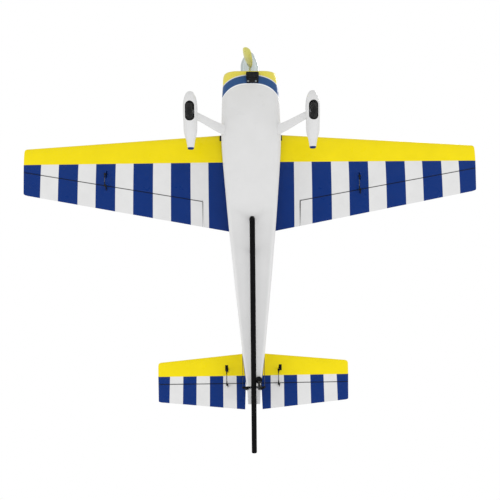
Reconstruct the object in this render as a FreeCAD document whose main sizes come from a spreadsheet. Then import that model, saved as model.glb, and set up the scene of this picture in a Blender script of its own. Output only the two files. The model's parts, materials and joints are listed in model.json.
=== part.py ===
import FreeCAD, Part
import math
import os
import Sketcher

# A propeller-driven aerobatic model aircraft that stands on its three wheels.
# Everything is drawn in the aircraft frame: X to the model's left, Y aft,
# Z up from the thrust line. A last placement tips it nose-up on its wheels.

os.makedirs("parts", exist_ok=True)
doc = FreeCAD.newDocument("aerobatic_model")
V = FreeCAD.Vector
Placement = FreeCAD.Placement
Rotation = FreeCAD.Rotation

SIZES = [
    ("span_half", 707.0),
    ("tip_sweep", 7.0),
    ("wing_height", -8.0),
    ("wing_root_station", 60.0),
    ("wing_root_lead", -360.2),
    ("wing_root_trail", -56.0),
    ("wing_tip_lead", -319.5),
    ("wing_tip_trail", -178.7),
    ("wing_root_ratio", 0.150),
    ("wing_tip_ratio", 0.130),
    ("aileron_inner", 150.0),
    ("aileron_end_gap", 2.0),
    ("aileron_hinge_inner", -151.7),
    ("aileron_hinge_outer", -248.6),
    ("tail_half_span", 300.0),
    ("tail_height", 18.0),
    ("tail_root_lead", 324.8),
    ("tail_root_trail", 507.0),
    ("tail_tip_lead", 353.0),
    ("tail_tip_trail", 477.0),
    ("tail_ratio", 0.105),
    ("elevator_hinge", 420.0),
    ("elevator_inner", 25.0),
    ("rudder_hinge", 428.0),
    ("fin_base_lead", 300.0),
    ("fin_top_lead", 380.0),
    ("fin_top", 204.0),
    ("rudder_base_trail", 499.0),
    ("rudder_top_trail", 478.0),
    ("fin_ratio", 0.085),
    ("skin", 3.0),
    ("cowl_front", -544.0),
    ("cowl_rear", -430.0),
    ("fuselage_end", 420.5),
    ("spinner_radius", 28.7),
    ("spinner_tip", -622.0),
    ("plate_rear", -549.5),
    ("plate_thickness", 2.5),
    ("drive_boss_length", 13.0),
    ("propeller_radius", 190.0),
    ("propeller_hub_radius", 12.0),
    ("propeller_hub_length", 14.0),
    ("motor_shaft_radius", 3.0),
    ("motor_bore_radius", 3.05),
    ("bell_radius", 25.0),
    ("bell_inner_radius", 22.5),
    ("stator_radius", 20.5),
    ("joiner_radius", 8.0),
    ("joiner_half_length", 280.0),
    ("joiner_station", -235.0),
    ("wheel_radius", 29.0),
    ("wheel_width", 20.0),
    ("wheel_track_half", 175.0),
    ("wheel_station", -394.0),
    ("wheel_bore_radius", 2.05),
    ("axle_radius", 2.0),
    ("pant_half_width", 20.5),
    ("pant_front", -454.5),
    ("pant_rear", -299.0),
    ("pant_opening_width", 26.5),
    ("pant_opening_length", 56.0),
    ("pant_skin", 2.0),
    ("tail_wheel_radius", 13.0),
    ("tail_wheel_width", 7.0),
    ("tail_wheel_side", 15.0),
    ("tail_steer_station", 404.0),
    ("tail_wheel_station", 412.0),
    ("stand_radius", 8.0),
    ("stand_bend_radius", 17.0),
    ("stand_socket_depth", 120.0),
    ("stand_side", -1.0),
    ("stand_front", -92.5),
    ("stand_second_post", 6.0),
    ("stand_end", 629.0),
    ("stand_above_ground", 24.0),
    ("stand_post_radius", 5.0),
    ("wing_arm_radius", 25.0),
    ("tail_arm_radius", 22.0),
    ("rudder_arm_radius", 34.0),
    ("arm_thickness", 2.0),
    ("pin_radius", 0.90),
    ("pin_bore_radius", 0.96),
    ("pushrod_radius", 1.2),
    ("cable_radius", 0.7),
    ("servo_shaft_radius", 2.0),
    ("servo_bore_radius", 2.06),
    ("hinge_pin_radius", 0.75),
    ("hinge_bore_radius", 0.81),
    ("hinge_gap", 0.8),
    ("battery_length", 128.0),
    ("battery_width", 43.0),
    ("battery_height", 34.0),
    ("hatch_half_width", 46.0),
    ("hatch_front", -250.0),
    ("hatch_rear", 20.0),
    ("canopy_rise", 56.0),
    ("ground_front_height", -205.0),
    ("ground_rise", 0.162),
]

sheet = doc.addObject("Spreadsheet::Sheet", "sizes")
for row, (alias, value) in enumerate(SIZES, start=1):
    sheet.set("A%d" % row, alias)
    sheet.set("B%d" % row, "%g" % value)
    sheet.setAlias("B%d" % row, alias)
doc.recompute()


def size(alias):
    return float(sheet.get(alias))


# ---------------------------------------------------------------- documents

def amount(item):
    """A plain number, or (alias, factor) read from the sheet."""
    if isinstance(item, tuple):
        return size(item[0]) * item[1]
    return float(item)


def expression(item):
    return "sizes.%s * %g" % (item[0], item[1])


def bind(obj, prop, item):
    if isinstance(item, tuple):
        obj.setExpression(prop, expression(item))
    else:
        setattr(obj, prop, item)


def origin_plane(body, role):
    for item in body.Origin.OriginFeatures:
        if item.Role == role:
            return item
    raise ValueError(role)


def new_body(label):
    body = doc.addObject("PartDesign::Body", label)
    body.Label = label
    return body


def sketch_on(body, name, height=0.0):
    sketch = body.newObject("Sketcher::SketchObject", name)
    sketch.AttachmentSupport = (origin_plane(body, "XY_Plane"), [""])
    sketch.MapMode = "FlatFace"
    sketch.AttachmentOffset = Placement(V(0, 0, height), Rotation())
    return sketch


def hold(sketch, kind, axis, geo, end, item):
    """Holds one coordinate of a point, on an axis where it is zero."""
    if abs(amount(item)) < 1e-9:
        sketch.addConstraint(Sketcher.Constraint("PointOnObject", geo, end, axis))
        return
    index = sketch.addConstraint(Sketcher.Constraint(kind, -1, 1, geo, end, amount(item)))
    if isinstance(item, tuple):
        sketch.setExpression("Constraints[%d]" % index, expression(item))


def hold_point(sketch, geo, end, x, y):
    hold(sketch, "DistanceX", -2, geo, end, x)
    hold(sketch, "DistanceY", -1, geo, end, y)


def add_circle(sketch, x, y, radius):
    centre = V(amount(x), amount(y), 0)
    geo = sketch.addGeometry(Part.Circle(centre, V(0, 0, 1), amount(radius)), False)
    hold_point(sketch, geo, 3, x, y)
    index = sketch.addConstraint(Sketcher.Constraint("Radius", geo, amount(radius)))
    if isinstance(radius, tuple):
        sketch.setExpression("Constraints[%d]" % index, expression(radius))


def add_polygon(sketch, points):
    first = sketch.GeometryCount
    count = len(points)
    for index in range(count):
        start = points[index]
        stop = points[(index + 1) % count]
        line = Part.LineSegment(V(amount(start[0]), amount(start[1]), 0),
                                V(amount(stop[0]), amount(stop[1]), 0))
        sketch.addGeometry(line, False)
    for index in range(count):
        after = first + (index + 1) % count
        sketch.addConstraint(Sketcher.Constraint("Coincident", first + index, 2, after, 1))
    for index in range(count):
        hold_point(sketch, first + index, 1, points[index][0], points[index][1])


def pad(body, sketch, name, length):
    feature = body.newObject("PartDesign::Pad", name)
    feature.Profile = sketch
    bind(feature, "Length", length)
    sketch.Visibility = False
    return feature


def pocket(body, sketch, name, length):
    feature = body.newObject("PartDesign::Pocket", name)
    feature.Profile = sketch
    bind(feature, "Length", length)
    sketch.Visibility = False
    return feature


def turned(label, points):
    """A body turned about its own Y axis from a polygon of (radius, station)."""
    body = new_body(label)
    sketch = sketch_on(body, label + "_profile")
    add_polygon(sketch, points)
    feature = body.newObject("PartDesign::Revolution", label + "_turn")
    feature.Profile = sketch
    feature.ReferenceAxis = (sketch, ["V_Axis"])
    feature.Angle = 360.0
    sketch.Visibility = False
    return body


def feature_of(label, shape):
    feature = doc.addObject("Part::Feature", label)
    feature.Label = label
    feature.Shape = shape
    return feature


finished = []


def finish(obj, label, local=None):
    """Records a sub-part with its place in the aircraft frame."""
    finished.append((obj, label, local or Placement()))


# ------------------------------------------------------------ shape helpers

def block(x0, x1, y0, y1, z0, z1):
    return Part.makeBox(x1 - x0, y1 - y0, z1 - z0, V(x0, y0, z0))


def rod(radius, start, stop):
    along = stop - start
    return Part.makeCylinder(radius, along.Length, start, along)


def mirrored(shape):
    return shape.mirror(V(0, 0, 0), V(1, 0, 0))


def fused(shapes):
    result = shapes[0]
    for shape in shapes[1:]:
        result = result.fuse(shape)
    return result.removeSplitter()


def placed(shape, placement):
    result = shape.copy()
    result.Placement = placement.multiply(result.Placement)
    return result


def arc(centre_x, centre_z, radius, station, from_deg):
    """A quarter arc in the plane across the fuselage."""
    points = []
    for step in (0.0, 45.0, 90.0):
        angle = math.radians(from_deg + step)
        points.append(V(centre_x + radius * math.cos(angle), station,
                        centre_z + radius * math.sin(angle)))
    return Part.Arc(points[0], points[1], points[2]).toShape()


def body_section(station, half, low, high, low_round, high_round):
    """A rounded rectangle across the fuselage, wound from the low left corner."""
    right_low = arc(half - low_round, low + low_round, low_round, station, 270.0)
    right_high = arc(half - high_round, high - high_round, high_round, station, 0.0)
    left_high = arc(high_round - half, high - high_round, high_round, station, 90.0)
    left_low = arc(low_round - half, low + low_round, low_round, station, 180.0)
    edges = []
    corners = [left_low, right_low, right_high, left_high]
    for index, corner in enumerate(corners):
        after = corners[(index + 1) % 4]
        edges.append(corner)
        edges.append(Part.makeLine(corner.Vertexes[-1].Point, after.Vertexes[0].Point))
    return Part.Wire(edges)


def thickness_at(chord_part, ratio):
    """Half thickness of a symmetrical airfoil, as a part of the chord."""
    root = math.sqrt(chord_part)
    line = 0.2969 * root - 0.1260 * chord_part - 0.3516 * chord_part ** 2
    line += 0.2843 * chord_part ** 3 - 0.1015 * chord_part ** 4
    return 5.0 * ratio * line


def airfoil(place, lead, trail, ratio):
    """A closed airfoil wire. place turns (chordwise, thickness) into a point."""
    chord = trail - lead
    steps = 16
    upper = []
    for index in range(steps + 1):
        part = 0.5 * (1.0 - math.cos(math.pi * index / steps))
        upper.append((part, thickness_at(part, ratio)))
    upper_points = [place(lead + part * chord, half * chord) for part, half in reversed(upper)]
    lower_points = [place(lead + part * chord, -half * chord) for part, half in upper[1:]]
    curve = Part.BSplineCurve()
    curve.interpolate(upper_points + lower_points)
    closing = Part.makeLine(lower_points[-1], upper_points[0])
    return Part.Wire([curve.toShape(), closing])


def lifting_surface(stations):
    """A ruled solid through airfoils: (span, lead, trail, ratio, height)."""
    wires = []
    for span, lead, trail, ratio, height in stations:
        def place(chordwise, thickness, span=span, height=height):
            return V(span, chordwise, height + thickness)
        wires.append(airfoil(place, lead, trail, ratio))
    return Part.makeLoft(wires, True, True)


def plan_prism(points, low, high, rounded):
    """An upright prism, with the upright edges of listed corners rounded."""
    corners = [V(x, y, low) for x, y in points]
    prism = Part.Face(Part.makePolygon(corners + corners[:1])).extrude(V(0, 0, high - low))
    for index, radius in rounded:
        target = corners[index]
        edges = []
        for edge in prism.Edges:
            ends = [vertex.Point for vertex in edge.Vertexes]
            upright = abs(ends[0].x - ends[1].x) < 1e-6 and abs(ends[0].y - ends[1].y) < 1e-6
            if upright and abs(ends[0].x - target.x) < 1e-6 and abs(ends[0].y - target.y) < 1e-6:
                edges.append(edge)
        prism = prism.makeFillet(radius, edges)
    return prism


# ---------------------------------------------------------- hinged surfaces

class HingeLine:
    """A hinge axis: local X along the axis, Y aft, Z to the upper or left side."""

    def __init__(self, placement, first, last, radius_first, radius_last, reach):
        self.placement = placement
        self.first = first
        self.last = last
        self.radius_first = radius_first
        self.radius_last = radius_last
        self.reach = reach

    def radius_at(self, along):
        part = (along - self.first) / (self.last - self.first)
        return self.radius_first + part * (self.radius_last - self.radius_first)

    def nose(self, extra, grow):
        length = self.last - self.first + 2.0 * grow
        start = V(self.first - grow, 0, 0)
        return Part.makeCone(self.radius_at(self.first - grow) + extra,
                             self.radius_at(self.last + grow) + extra,
                             length, start, V(1, 0, 0))

    def aft(self, grow):
        return block(self.first - grow, self.last + grow, 0.0, self.reach, -60.0, 60.0)

    def split(self, full, knuckles, open_zone=None, keep_zone=None):
        gap = size("hinge_gap")
        open_space = placed(fused([self.nose(gap, gap), self.aft(gap)]), self.placement)
        keep_space = placed(fused([self.nose(0.0, 0.0), self.aft(0.0)]), self.placement)
        if open_zone is not None:
            open_space = open_space.common(open_zone)
            keep_space = keep_space.common(keep_zone)
        fixed = full.cut(open_space)
        moving = full.common(keep_space)
        metal = []
        for along in knuckles:
            deep = self.radius_at(along) + 10.0
            tongue = block(along - 3.0, along + 3.0, -deep, 0.0, -1.0, 1.0)
            barrel = rod(2.2, V(along - 3.0, 0, 0), V(along + 3.0, 0, 0))
            pin = rod(size("hinge_pin_radius"), V(along - 8.0, 0, 0), V(along + 8.0, 0, 0))
            knuckle = placed(fused([tongue, barrel, pin]), self.placement)
            slope = 0.46
            corners = [V(along - 3.6, 3.0, -3.0), V(along - 3.6, 3.0, 3.0),
                       V(along - 3.6, 0.0, 3.0), V(along - 3.6, -deep, 3.0 + deep * slope),
                       V(along - 3.6, -deep, -3.0 - deep * slope), V(along - 3.6, 0.0, -3.0)]
            notch = Part.Face(Part.makePolygon(corners + corners[:1])).extrude(V(7.2, 0, 0))
            bore = rod(size("hinge_bore_radius"), V(along - 8.1, 0, 0), V(along + 8.1, 0, 0))
            moving = moving.cut(placed(notch, self.placement))
            moving = moving.cut(placed(bore, self.placement))
            fixed = fixed.cut(knuckle)
            metal.append(knuckle)
        return fixed, moving, metal


def linkage_place(hinge, along, back):
    """Frame of one servo linkage: its Z along the hinge axis, X aft, Y up."""
    turn = Placement(V(along, -back, 0), Rotation(V(0, 1, 0), V(0, 0, 1), V(1, 0, 0), "XYZ"))
    return hinge.placement.multiply(turn)


def lever(label, radius, hub_radius, tip_radius, has_shaft, shaft_length):
    """A flat servo arm hanging down its own -Y, with a shaft stub along +Z."""
    body = new_body(label)
    half = ("arm_thickness", -0.5)
    web = sketch_on(body, label + "_web", amount(half))
    add_polygon(web, [(-hub_radius * 0.92, -0.6), (hub_radius * 0.92, -0.6),
                      (tip_radius * 0.92, (radius, -1.0)), (-tip_radius * 0.92, (radius, -1.0))])
    pad(body, web, label + "_web_pad", ("arm_thickness", 1.0))
    hub = sketch_on(body, label + "_hub", amount(half))
    add_circle(hub, 0.0, 0.0, hub_radius)
    pad(body, hub, label + "_hub_pad", ("arm_thickness", 1.0))
    tip = sketch_on(body, label + "_tip", amount(half))
    add_circle(tip, 0.0, (radius, -1.0), tip_radius)
    pad(body, tip, label + "_tip_pad", ("arm_thickness", 1.0))
    if has_shaft:
        stub = sketch_on(body, label + "_stub", 0.0)
        add_circle(stub, 0.0, 0.0, ("servo_shaft_radius", 1.0))
        pad(body, stub, label + "_stub_pad", shaft_length)
    holes = sketch_on(body, label + "_holes", size("arm_thickness") * 0.5)
    add_circle(holes, 0.0, (radius, -1.0), ("pin_bore_radius", 1.0))
    body.Tip = pocket(body, holes, label + "_bore", ("arm_thickness", 1.0))
    return body


def horn_shape(radius, rise, foot_from, foot_to):
    """A horn plate: hole at -Y, widening to its foot inside the surface."""
    half = 0.5 * size("arm_thickness")
    corners = [V(-3.2, -radius, -half), V(3.2, -radius, -half),
               V(foot_to, -rise, -half), V(foot_from, -rise, -half)]
    plate = Part.Face(Part.makePolygon(corners + corners[:1])).extrude(V(0, 0, 2.0 * half))
    tip = Part.makeCylinder(3.4, 2.0 * half, V(0, -radius, -half))
    bore = Part.makeCylinder(size("pin_bore_radius"), 4.0 * half, V(0, -radius, -2.0 * half))
    return fused([plate, tip]).cut(bore)


def pushrod_shape(length, radius, shift):
    """A straight pushrod beside the arms, with a cross pin at each end."""
    side = -0.5 * size("arm_thickness") - size("pushrod_radius") - 0.9
    first = V(0, -radius, side)
    last = V(length, -radius, side + shift)
    along = (last - first).normalize() * 2.5
    solids = [rod(size("pushrod_radius"), first - along, last + along)]
    reach = V(0, 0, 0.5 * size("arm_thickness") + 1.0 - side)
    for end in (first, last):
        solids.append(rod(size("pin_radius"), end, end + reach))
    return fused(solids)


def servo_shape(length, depth, height, from_front):
    """A servo lying on its side, its shaft bore along Z at the origin."""
    gap = 0.5 * size("arm_thickness") + 0.8
    case = block(-from_front, length - from_front, -0.5 * height, 0.5 * height, gap + 2.0,
                 gap + 2.0 + depth)
    boss = Part.makeCylinder(0.42 * height, 2.2, V(0, 0, gap))
    ear = block(-from_front - 3.0, length - from_front + 3.0, -0.5 * height, 0.5 * height,
                gap + 2.0 + 0.28 * depth, gap + 3.4 + 0.28 * depth)
    bore = Part.makeCylinder(size("servo_bore_radius"), 7.0, V(0, 0, gap - 0.1))
    return fused([case, boss, ear]).cut(bore)


# ----------------------------------------------------------------- fuselage

def hull_sections(inset):
    """Stations of cowl and fuselage: station, half width, low, high, roundings."""
    nose = size("cowl_front")
    rows = [
        (nose, 75.0, -58.5, 52.5, 36.0, 41.0),
        (nose + 2.5, 78.8, -62.0, 56.0, 36.5, 42.0),
        (nose + 8.0, 81.4, -65.0, 59.0, 36.5, 42.5),
        (nose + 17.0, 83.1, -68.5, 61.0, 35.0, 43.0),
        (-505.0, 83.9, -75.5, 63.0, 30.0, 43.0),
        (-470.0, 85.9, -83.0, 65.0, 24.0, 44.0),
        (size("cowl_rear"), 87.4, -87.0, 66.0, 20.0, 44.0),
        (-359.0, 89.7, -90.0, 70.0, 17.0, 44.0),
        (-268.0, 86.4, -91.0, 72.0, 15.0, 42.0),
        (-168.0, 78.8, -91.0, 71.0, 14.0, 38.0),
        (-60.0, 70.0, -88.0, 66.0, 13.0, 36.0),
        (62.0, 59.4, -75.0, 58.0, 12.0, 32.0),
        (187.0, 47.5, -60.0, 48.0, 10.0, 27.0),
        (311.0, 35.7, -44.0, 39.0, 9.0, 21.0),
        (size("fuselage_end"), 22.8, -31.0, 31.0, 7.0, 14.0),
    ]
    wires = []
    for station, half, low, high, low_round, high_round in rows:
        wires.append(body_section(station, half - inset, low + inset, high - inset,
                                  max(low_round - inset, 3.0), max(high_round - inset, 3.0)))
    return wires


skin = size("skin")
split_at = size("cowl_rear")
outer_form = Part.makeLoft(hull_sections(0.0), True, False)
inner_form = Part.makeLoft(hull_sections(skin), True, True)
hull_solid = outer_form.common(block(-200, 200, split_at, 600, -200, 200))
hull_inner = inner_form.common(block(-200, 200, split_at + 6.0, size("fuselage_end") - 4.0,
                                     -200, 200))
cowl_solid = outer_form.common(block(-200, 200, -700, split_at, -200, 200))
cowl_inner = inner_form.common(block(-200, 200, size("cowl_front") + 3.0, split_at + 1.0,
                                     -200, 200))

# The cowl: open at the rear, with a shaft hole and two cooling inlets.
cowl_shape = cowl_solid.cut(cowl_inner)
front = size("cowl_front")
cowl_shape = cowl_shape.cut(rod(16.0, V(0, front - 5, 0), V(0, front + 20, 0)))
for side in (-1.0, 1.0):
    inlet = fused([rod(12.0, V(side * 46, front - 5, 2), V(side * 46, front + 12, 2)),
                   rod(12.0, V(side * 56, front - 5, 2), V(side * 56, front + 12, 2)),
                   block(min(side * 46, side * 56), max(side * 46, side * 56),
                         front - 5, front + 12, -10, 14)])
    cowl_shape = cowl_shape.cut(inlet)

# The chin block sits under the front of the cowl, a little to the left side.
scoop_low = -80.5
scoop = fused([block(-13.0, 25.0, front + 8.0, front + 26.0, scoop_low, -50.0),
               block(-12.0, 24.0, front + 26.0, front + 41.0, scoop_low + 1.6, -50.0)])
scoop = scoop.makeFillet(1.2, [edge for edge in scoop.Edges
                               if edge.BoundBox.ZMax < scoop_low + 0.1])
mouth = block(-8.0, 20.0, front + 2.0, front + 23.0, scoop_low + 2.5, -69.5)
scoop = scoop.cut(mouth).cut(cowl_solid)
scoop_solids = sorted(scoop.Solids, key=lambda solid: solid.Volume)
scoop = scoop_solids[-1]

# ---------------------------------------------------------------- the wings

hinge_rise = size("aileron_hinge_inner") - size("aileron_hinge_outer")
hinge_run = size("span_half") - size("aileron_inner")
hinge_sweep = math.degrees(math.atan2(hinge_rise, hinge_run))
hinge_length = math.hypot(hinge_rise, hinge_run)


def wing_station(span, thinning=1.0, lead_shift=0.0, trail_shift=0.0):
    root = size("wing_root_station")
    part = (span - root) / (size("span_half") - root)
    lead = size("wing_root_lead") + part * (size("wing_tip_lead") - size("wing_root_lead"))
    trail = size("wing_root_trail") + part * (size("wing_tip_trail") - size("wing_root_trail"))
    ratio = size("wing_root_ratio") + part * (size("wing_tip_ratio") - size("wing_root_ratio"))
    return (span, lead + lead_shift, trail - trail_shift, ratio * thinning, size("wing_height"))


def wing_half_thickness(span, station):
    place, lead, trail, ratio, height = wing_station(span)
    part = (station - lead) / (trail - lead)
    return thickness_at(part, ratio) * (trail - lead)


tip = size("span_half")
wing_full = lifting_surface([wing_station(size("wing_root_station")),
                             wing_station(tip - 14.0),
                             wing_station(tip - 5.0, 0.86, 2.0, 1.0),
                             wing_station(tip, 0.55, 5.0, 3.0)])
lead_in = wing_station(40.0)
lead_out = wing_station(tip)
outline = plan_prism([(40.0, lead_in[1] - 1.0), (tip - size("tip_sweep"), lead_out[1] - 1.0),
                      (tip, lead_out[2] + 1.0), (40.0, lead_in[2] + 1.0)],
                     -60.0, 60.0, [(1, 10.0), (2, 9.0)])
wing_full = wing_full.common(outline).cut(hull_solid)

WING_LINKS = {1.0: (337.0, 41.0), -1.0: (447.0, 35.0)}
KNUCKLE_PARTS = (0.07, 0.42, 0.9)
wing_shapes = {}
aileron_shapes = {}
aileron_metal = []
aileron_hinge_lines = {}
radius_inner = wing_half_thickness(size("aileron_inner"), size("aileron_hinge_inner")) - 0.1
radius_outer = wing_half_thickness(tip, size("aileron_hinge_outer")) - 0.1
joiner_hole = rod(size("joiner_radius"),
                  V(-size("joiner_half_length"), size("joiner_station"), size("wing_height")),
                  V(size("joiner_half_length"), size("joiner_station"), size("wing_height")))
overrun = 40.0
radius_overrun = radius_inner + (radius_inner - radius_outer) * overrun / (hinge_length + 6.0)
zone_inner = size("aileron_inner")
open_zone = block(zone_inner, 900.0, -400.0, 0.0, -90.0, 90.0)
keep_zone = block(zone_inner + size("aileron_end_gap"), 900.0, -400.0, 0.0, -90.0, 90.0)
for side in (1.0, -1.0):
    full = wing_full if side > 0 else mirrored(wing_full)
    base = Placement(V(side * size("aileron_inner"), size("aileron_hinge_inner"),
                       size("wing_height")), Rotation(V(0, 0, 1), -side * hinge_sweep))
    if side > 0:
        line = HingeLine(base, -overrun, hinge_length + 6.0, radius_overrun, radius_outer,
                         220.0)
    else:
        line = HingeLine(base, -hinge_length - 6.0, overrun, radius_outer, radius_overrun,
                         220.0)
    knuckles = [side * part * hinge_length for part in KNUCKLE_PARTS]
    zones = [open_zone, keep_zone]
    if side < 0:
        zones = [mirrored(zone) for zone in zones]
    fixed, moving, metal = line.split(full, knuckles, zones[0], zones[1])
    wing_shapes[side] = fixed.cut(joiner_hole)
    aileron_shapes[side] = moving
    aileron_metal += metal
    aileron_hinge_lines[side] = line

# ----------------------------------------------------------------- the tail

def tail_station(span, thinning=1.0, lead_shift=0.0, trail_shift=0.0):
    part = span / size("tail_half_span")
    lead = size("tail_root_lead") + part * (size("tail_tip_lead") - size("tail_root_lead"))
    trail = size("tail_root_trail") + part * (size("tail_tip_trail") - size("tail_root_trail"))
    return (span, lead + lead_shift, trail - trail_shift, size("tail_ratio") * thinning,
            size("tail_height"))


def tail_half_thickness(span, station):
    place, lead, trail, ratio, height = tail_station(span)
    part = (station - lead) / (trail - lead)
    return thickness_at(part, ratio) * (trail - lead)


tail_tip = size("tail_half_span")
tail_half = lifting_surface([tail_station(0.0), tail_station(tail_tip - 9.0),
                             tail_station(tail_tip - 3.0, 0.85, 1.5, 1.0),
                             tail_station(tail_tip, 0.55, 4.0, 2.5)])
tail_out = tail_station(tail_tip)
tail_outline = plan_prism([(-1.0, 300.0), (tail_tip + 0.4, tail_out[1] - 1.0),
                           (tail_tip + 0.4, tail_out[2] + 0.6), (-1.0, 520.0)],
                          -60.0, 80.0, [(1, 14.0), (2, 7.0)])
tail_half = tail_half.common(tail_outline)
elevator_root = plan_prism([(size("elevator_inner"), 421.0), (400.0, 380.0), (400.0, 560.0),
                            (29.0, 560.0), (27.6, 506.0), (size("elevator_inner"), 440.0)],
                           -60.0, 80.0, [])
elevator_zone = fused([elevator_root, block(size("elevator_inner"), 400.0, 380.0, 421.5,
                                            -60.0, 80.0)])

elevator_hinge = {}
elevator_shapes = {}
elevator_metal = []
stabilizer_parts = []
elevator_inner = size("elevator_inner")
tail_radius_inner = tail_half_thickness(elevator_inner, size("elevator_hinge")) - 0.1
tail_radius_outer = tail_half_thickness(tail_tip, size("elevator_hinge")) - 0.1
elevator_span = tail_tip - elevator_inner
for side in (1.0, -1.0):
    full = tail_half if side > 0 else mirrored(tail_half)
    zone = elevator_zone if side > 0 else mirrored(elevator_zone)
    base = Placement(V(side * elevator_inner, size("elevator_hinge"), size("tail_height")),
                     Rotation())
    if side > 0:
        line = HingeLine(base, 0.0, elevator_span + 6.0, tail_radius_inner,
                         tail_radius_outer, 150.0)
    else:
        line = HingeLine(base, -elevator_span - 6.0, 0.0, tail_radius_outer,
                         tail_radius_inner, 150.0)
    knuckles = [side * part * elevator_span for part in (0.09, 0.85)]
    fixed, moving, metal = line.split(full, knuckles)
    fixed = fixed.common(block(-400, 400, 300, size("elevator_hinge") - 0.2, -60, 80))
    centre_strip = block(-elevator_inner - 2.0, elevator_inner + 2.0,
                         size("elevator_hinge") - 5.0, 600.0, -60.0, 80.0)
    stabilizer_parts.append(fixed.cut(centre_strip))
    elevator_shapes[side] = moving.common(zone)
    elevator_metal += metal
    elevator_hinge[side] = line
stabilizer_shape = fused(stabilizer_parts)

# The fin and rudder: airfoils in level planes, lofted upwards.
fin_bottom = 20.0


def fin_station(height, thinning=1.0, lead_shift=0.0, trail_shift=0.0):
    part = (height - fin_bottom) / (size("fin_top") - fin_bottom)
    lead = size("fin_base_lead") + part * (size("fin_top_lead") - size("fin_base_lead"))
    base_trail = size("rudder_base_trail")
    trail = base_trail + part * (size("rudder_top_trail") - base_trail)
    return (height, lead + lead_shift, trail - trail_shift, size("fin_ratio") * thinning)


def fin_wire(station):
    height, lead, trail, ratio = station

    def place(chordwise, thickness):
        return V(thickness, chordwise, height)
    return airfoil(place, lead, trail, ratio)


def fin_half_thickness(height, station):
    level, lead, trail, ratio = fin_station(height)
    return thickness_at((station - lead) / (trail - lead), ratio) * (trail - lead)


fin_full = Part.makeLoft([fin_wire(fin_station(fin_bottom)),
                          fin_wire(fin_station(size("fin_top") - 8.0)),
                          fin_wire(fin_station(size("fin_top") - 2.5, 0.8, 2.5, 1.5)),
                          fin_wire(fin_station(size("fin_top"), 0.5, 7.0, 4.0))], True, True)
rudder_low = -30.0
fin_radius_low = fin_half_thickness(fin_bottom, size("rudder_hinge")) - 0.1
fin_radius_high = fin_half_thickness(size("fin_top"), size("rudder_hinge")) - 0.1
rudder_place = Placement(V(0, size("rudder_hinge"), 0), Rotation(V(0, 1, 0), -90.0))
rudder_line = HingeLine(rudder_place, fin_bottom - 1.0, size("fin_top") + 2.0,
                        fin_radius_low, fin_radius_high, 140.0)
fin_shape, rudder_blade, rudder_metal = rudder_line.split(fin_full, [62.0, 122.0, 180.0])
fin_shape = fin_shape.cut(hull_solid)
fin_shape = fin_shape.cut(block(-60, 60, size("fuselage_end") - 2.0, 600, -60, 34.0))
fin_shape = sorted(fin_shape.Solids, key=lambda solid: solid.Volume)[-1]

# The lower rudder: a thin web down to the broad square heel.
post = size("rudder_hinge")
web_corners = [V(0, post - 3.6, 20.0), V(0, 497.0, 20.0), V(0, 484.0, -28.0),
               V(0, post - 3.6, -28.0)]
web = Part.Face(Part.makePolygon(web_corners + web_corners[:1]))
web.translate(V(-3.6, 0, 0))
web = web.extrude(V(7.2, 0, 0))
heel = plan_prism([(-3.0, post - 3.6), (3.0, post - 3.6), (20.5, post + 6.0),
                   (19.0, 476.0), (-19.0, 476.0), (-20.5, post + 6.0)],
                  -30.0, -15.0, [(3, 3.0), (4, 3.0)])
rudder_shape = fused([rudder_blade, web, heel])
tail_sweep = rod(3.9, V(0, post, -31.0), V(0, post, 21.0))

# ------------------------------------------------------------ ground and rod

def ground_height(station):
    return (size("ground_front_height")
            + (station - size("wheel_station")) * size("ground_rise"))


def wheel_centre_height(station, radius):
    """The height that sets a wheel of this radius on the sloping ground line."""
    return ground_height(station) + radius / math.cos(math.atan(size("ground_rise")))


def stand_height(station):
    return ground_height(station) + size("stand_above_ground")


stand_side = size("stand_side")
front_station = size("stand_front")
rise_angle = math.atan(size("ground_rise"))
turn_angle = 0.5 * math.pi + rise_angle
bend_radius = size("stand_bend_radius")
bend_reach = bend_radius * math.tan(0.5 * turn_angle)
corner = V(stand_side, front_station, stand_height(front_station))
up_end = V(stand_side, front_station, -80.0)
bend_top = corner + V(0, 0, bend_reach)
bend_run = corner + V(0, math.cos(rise_angle), math.sin(rise_angle)) * bend_reach
bend_centre = bend_top + V(0, bend_radius, 0)
far_end = V(stand_side, size("stand_end"), stand_height(size("stand_end")))
bend_disc = Part.Face(Part.Wire([Part.makeCircle(size("stand_radius"), bend_top, V(0, 0, 1))]))
bend_solid = bend_disc.revolve(bend_centre, V(1, 0, 0), math.degrees(turn_angle))
stand_shape = fused([rod(size("stand_radius"), up_end, bend_top), bend_solid,
                     rod(size("stand_radius"), bend_run, far_end)])
along_rod = (far_end - bend_run).normalize()
mark = far_end - along_rod * size("stand_socket_depth")
groove = rod(size("stand_radius") + 1.0, mark - along_rod, mark)
groove = groove.cut(rod(size("stand_radius") - 0.4, mark - along_rod * 2.0, mark + along_rod))
stand_shape = stand_shape.cut(groove).cut(hull_solid)
second = size("stand_second_post")
post_shape = rod(size("stand_post_radius"), V(stand_side, second, stand_height(second)),
                 V(stand_side, second, -60.0))
post_shape = post_shape.cut(hull_solid).cut(stand_shape)
post_shape = sorted(post_shape.Solids, key=lambda solid: solid.Volume)[-1]

# ------------------------------------------------------------- landing gear

wheel_y = size("wheel_station")
wheel_z = wheel_centre_height(wheel_y, size("wheel_radius"))


def pant_wire(station, half_width, half_height, centre_height, inset):
    ellipse = Part.Ellipse(V(0, 0, 0), max(half_width, half_height) - inset,
                           min(half_width, half_height) - inset)
    shape = ellipse.toShape()
    turn = Rotation(V(1, 0, 0), 90.0)
    if half_height > half_width:
        turn = turn.multiply(Rotation(V(0, 0, 1), 90.0))
    shape.Placement = Placement(V(size("wheel_track_half"), station, centre_height), turn)
    return Part.Wire([shape])


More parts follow.
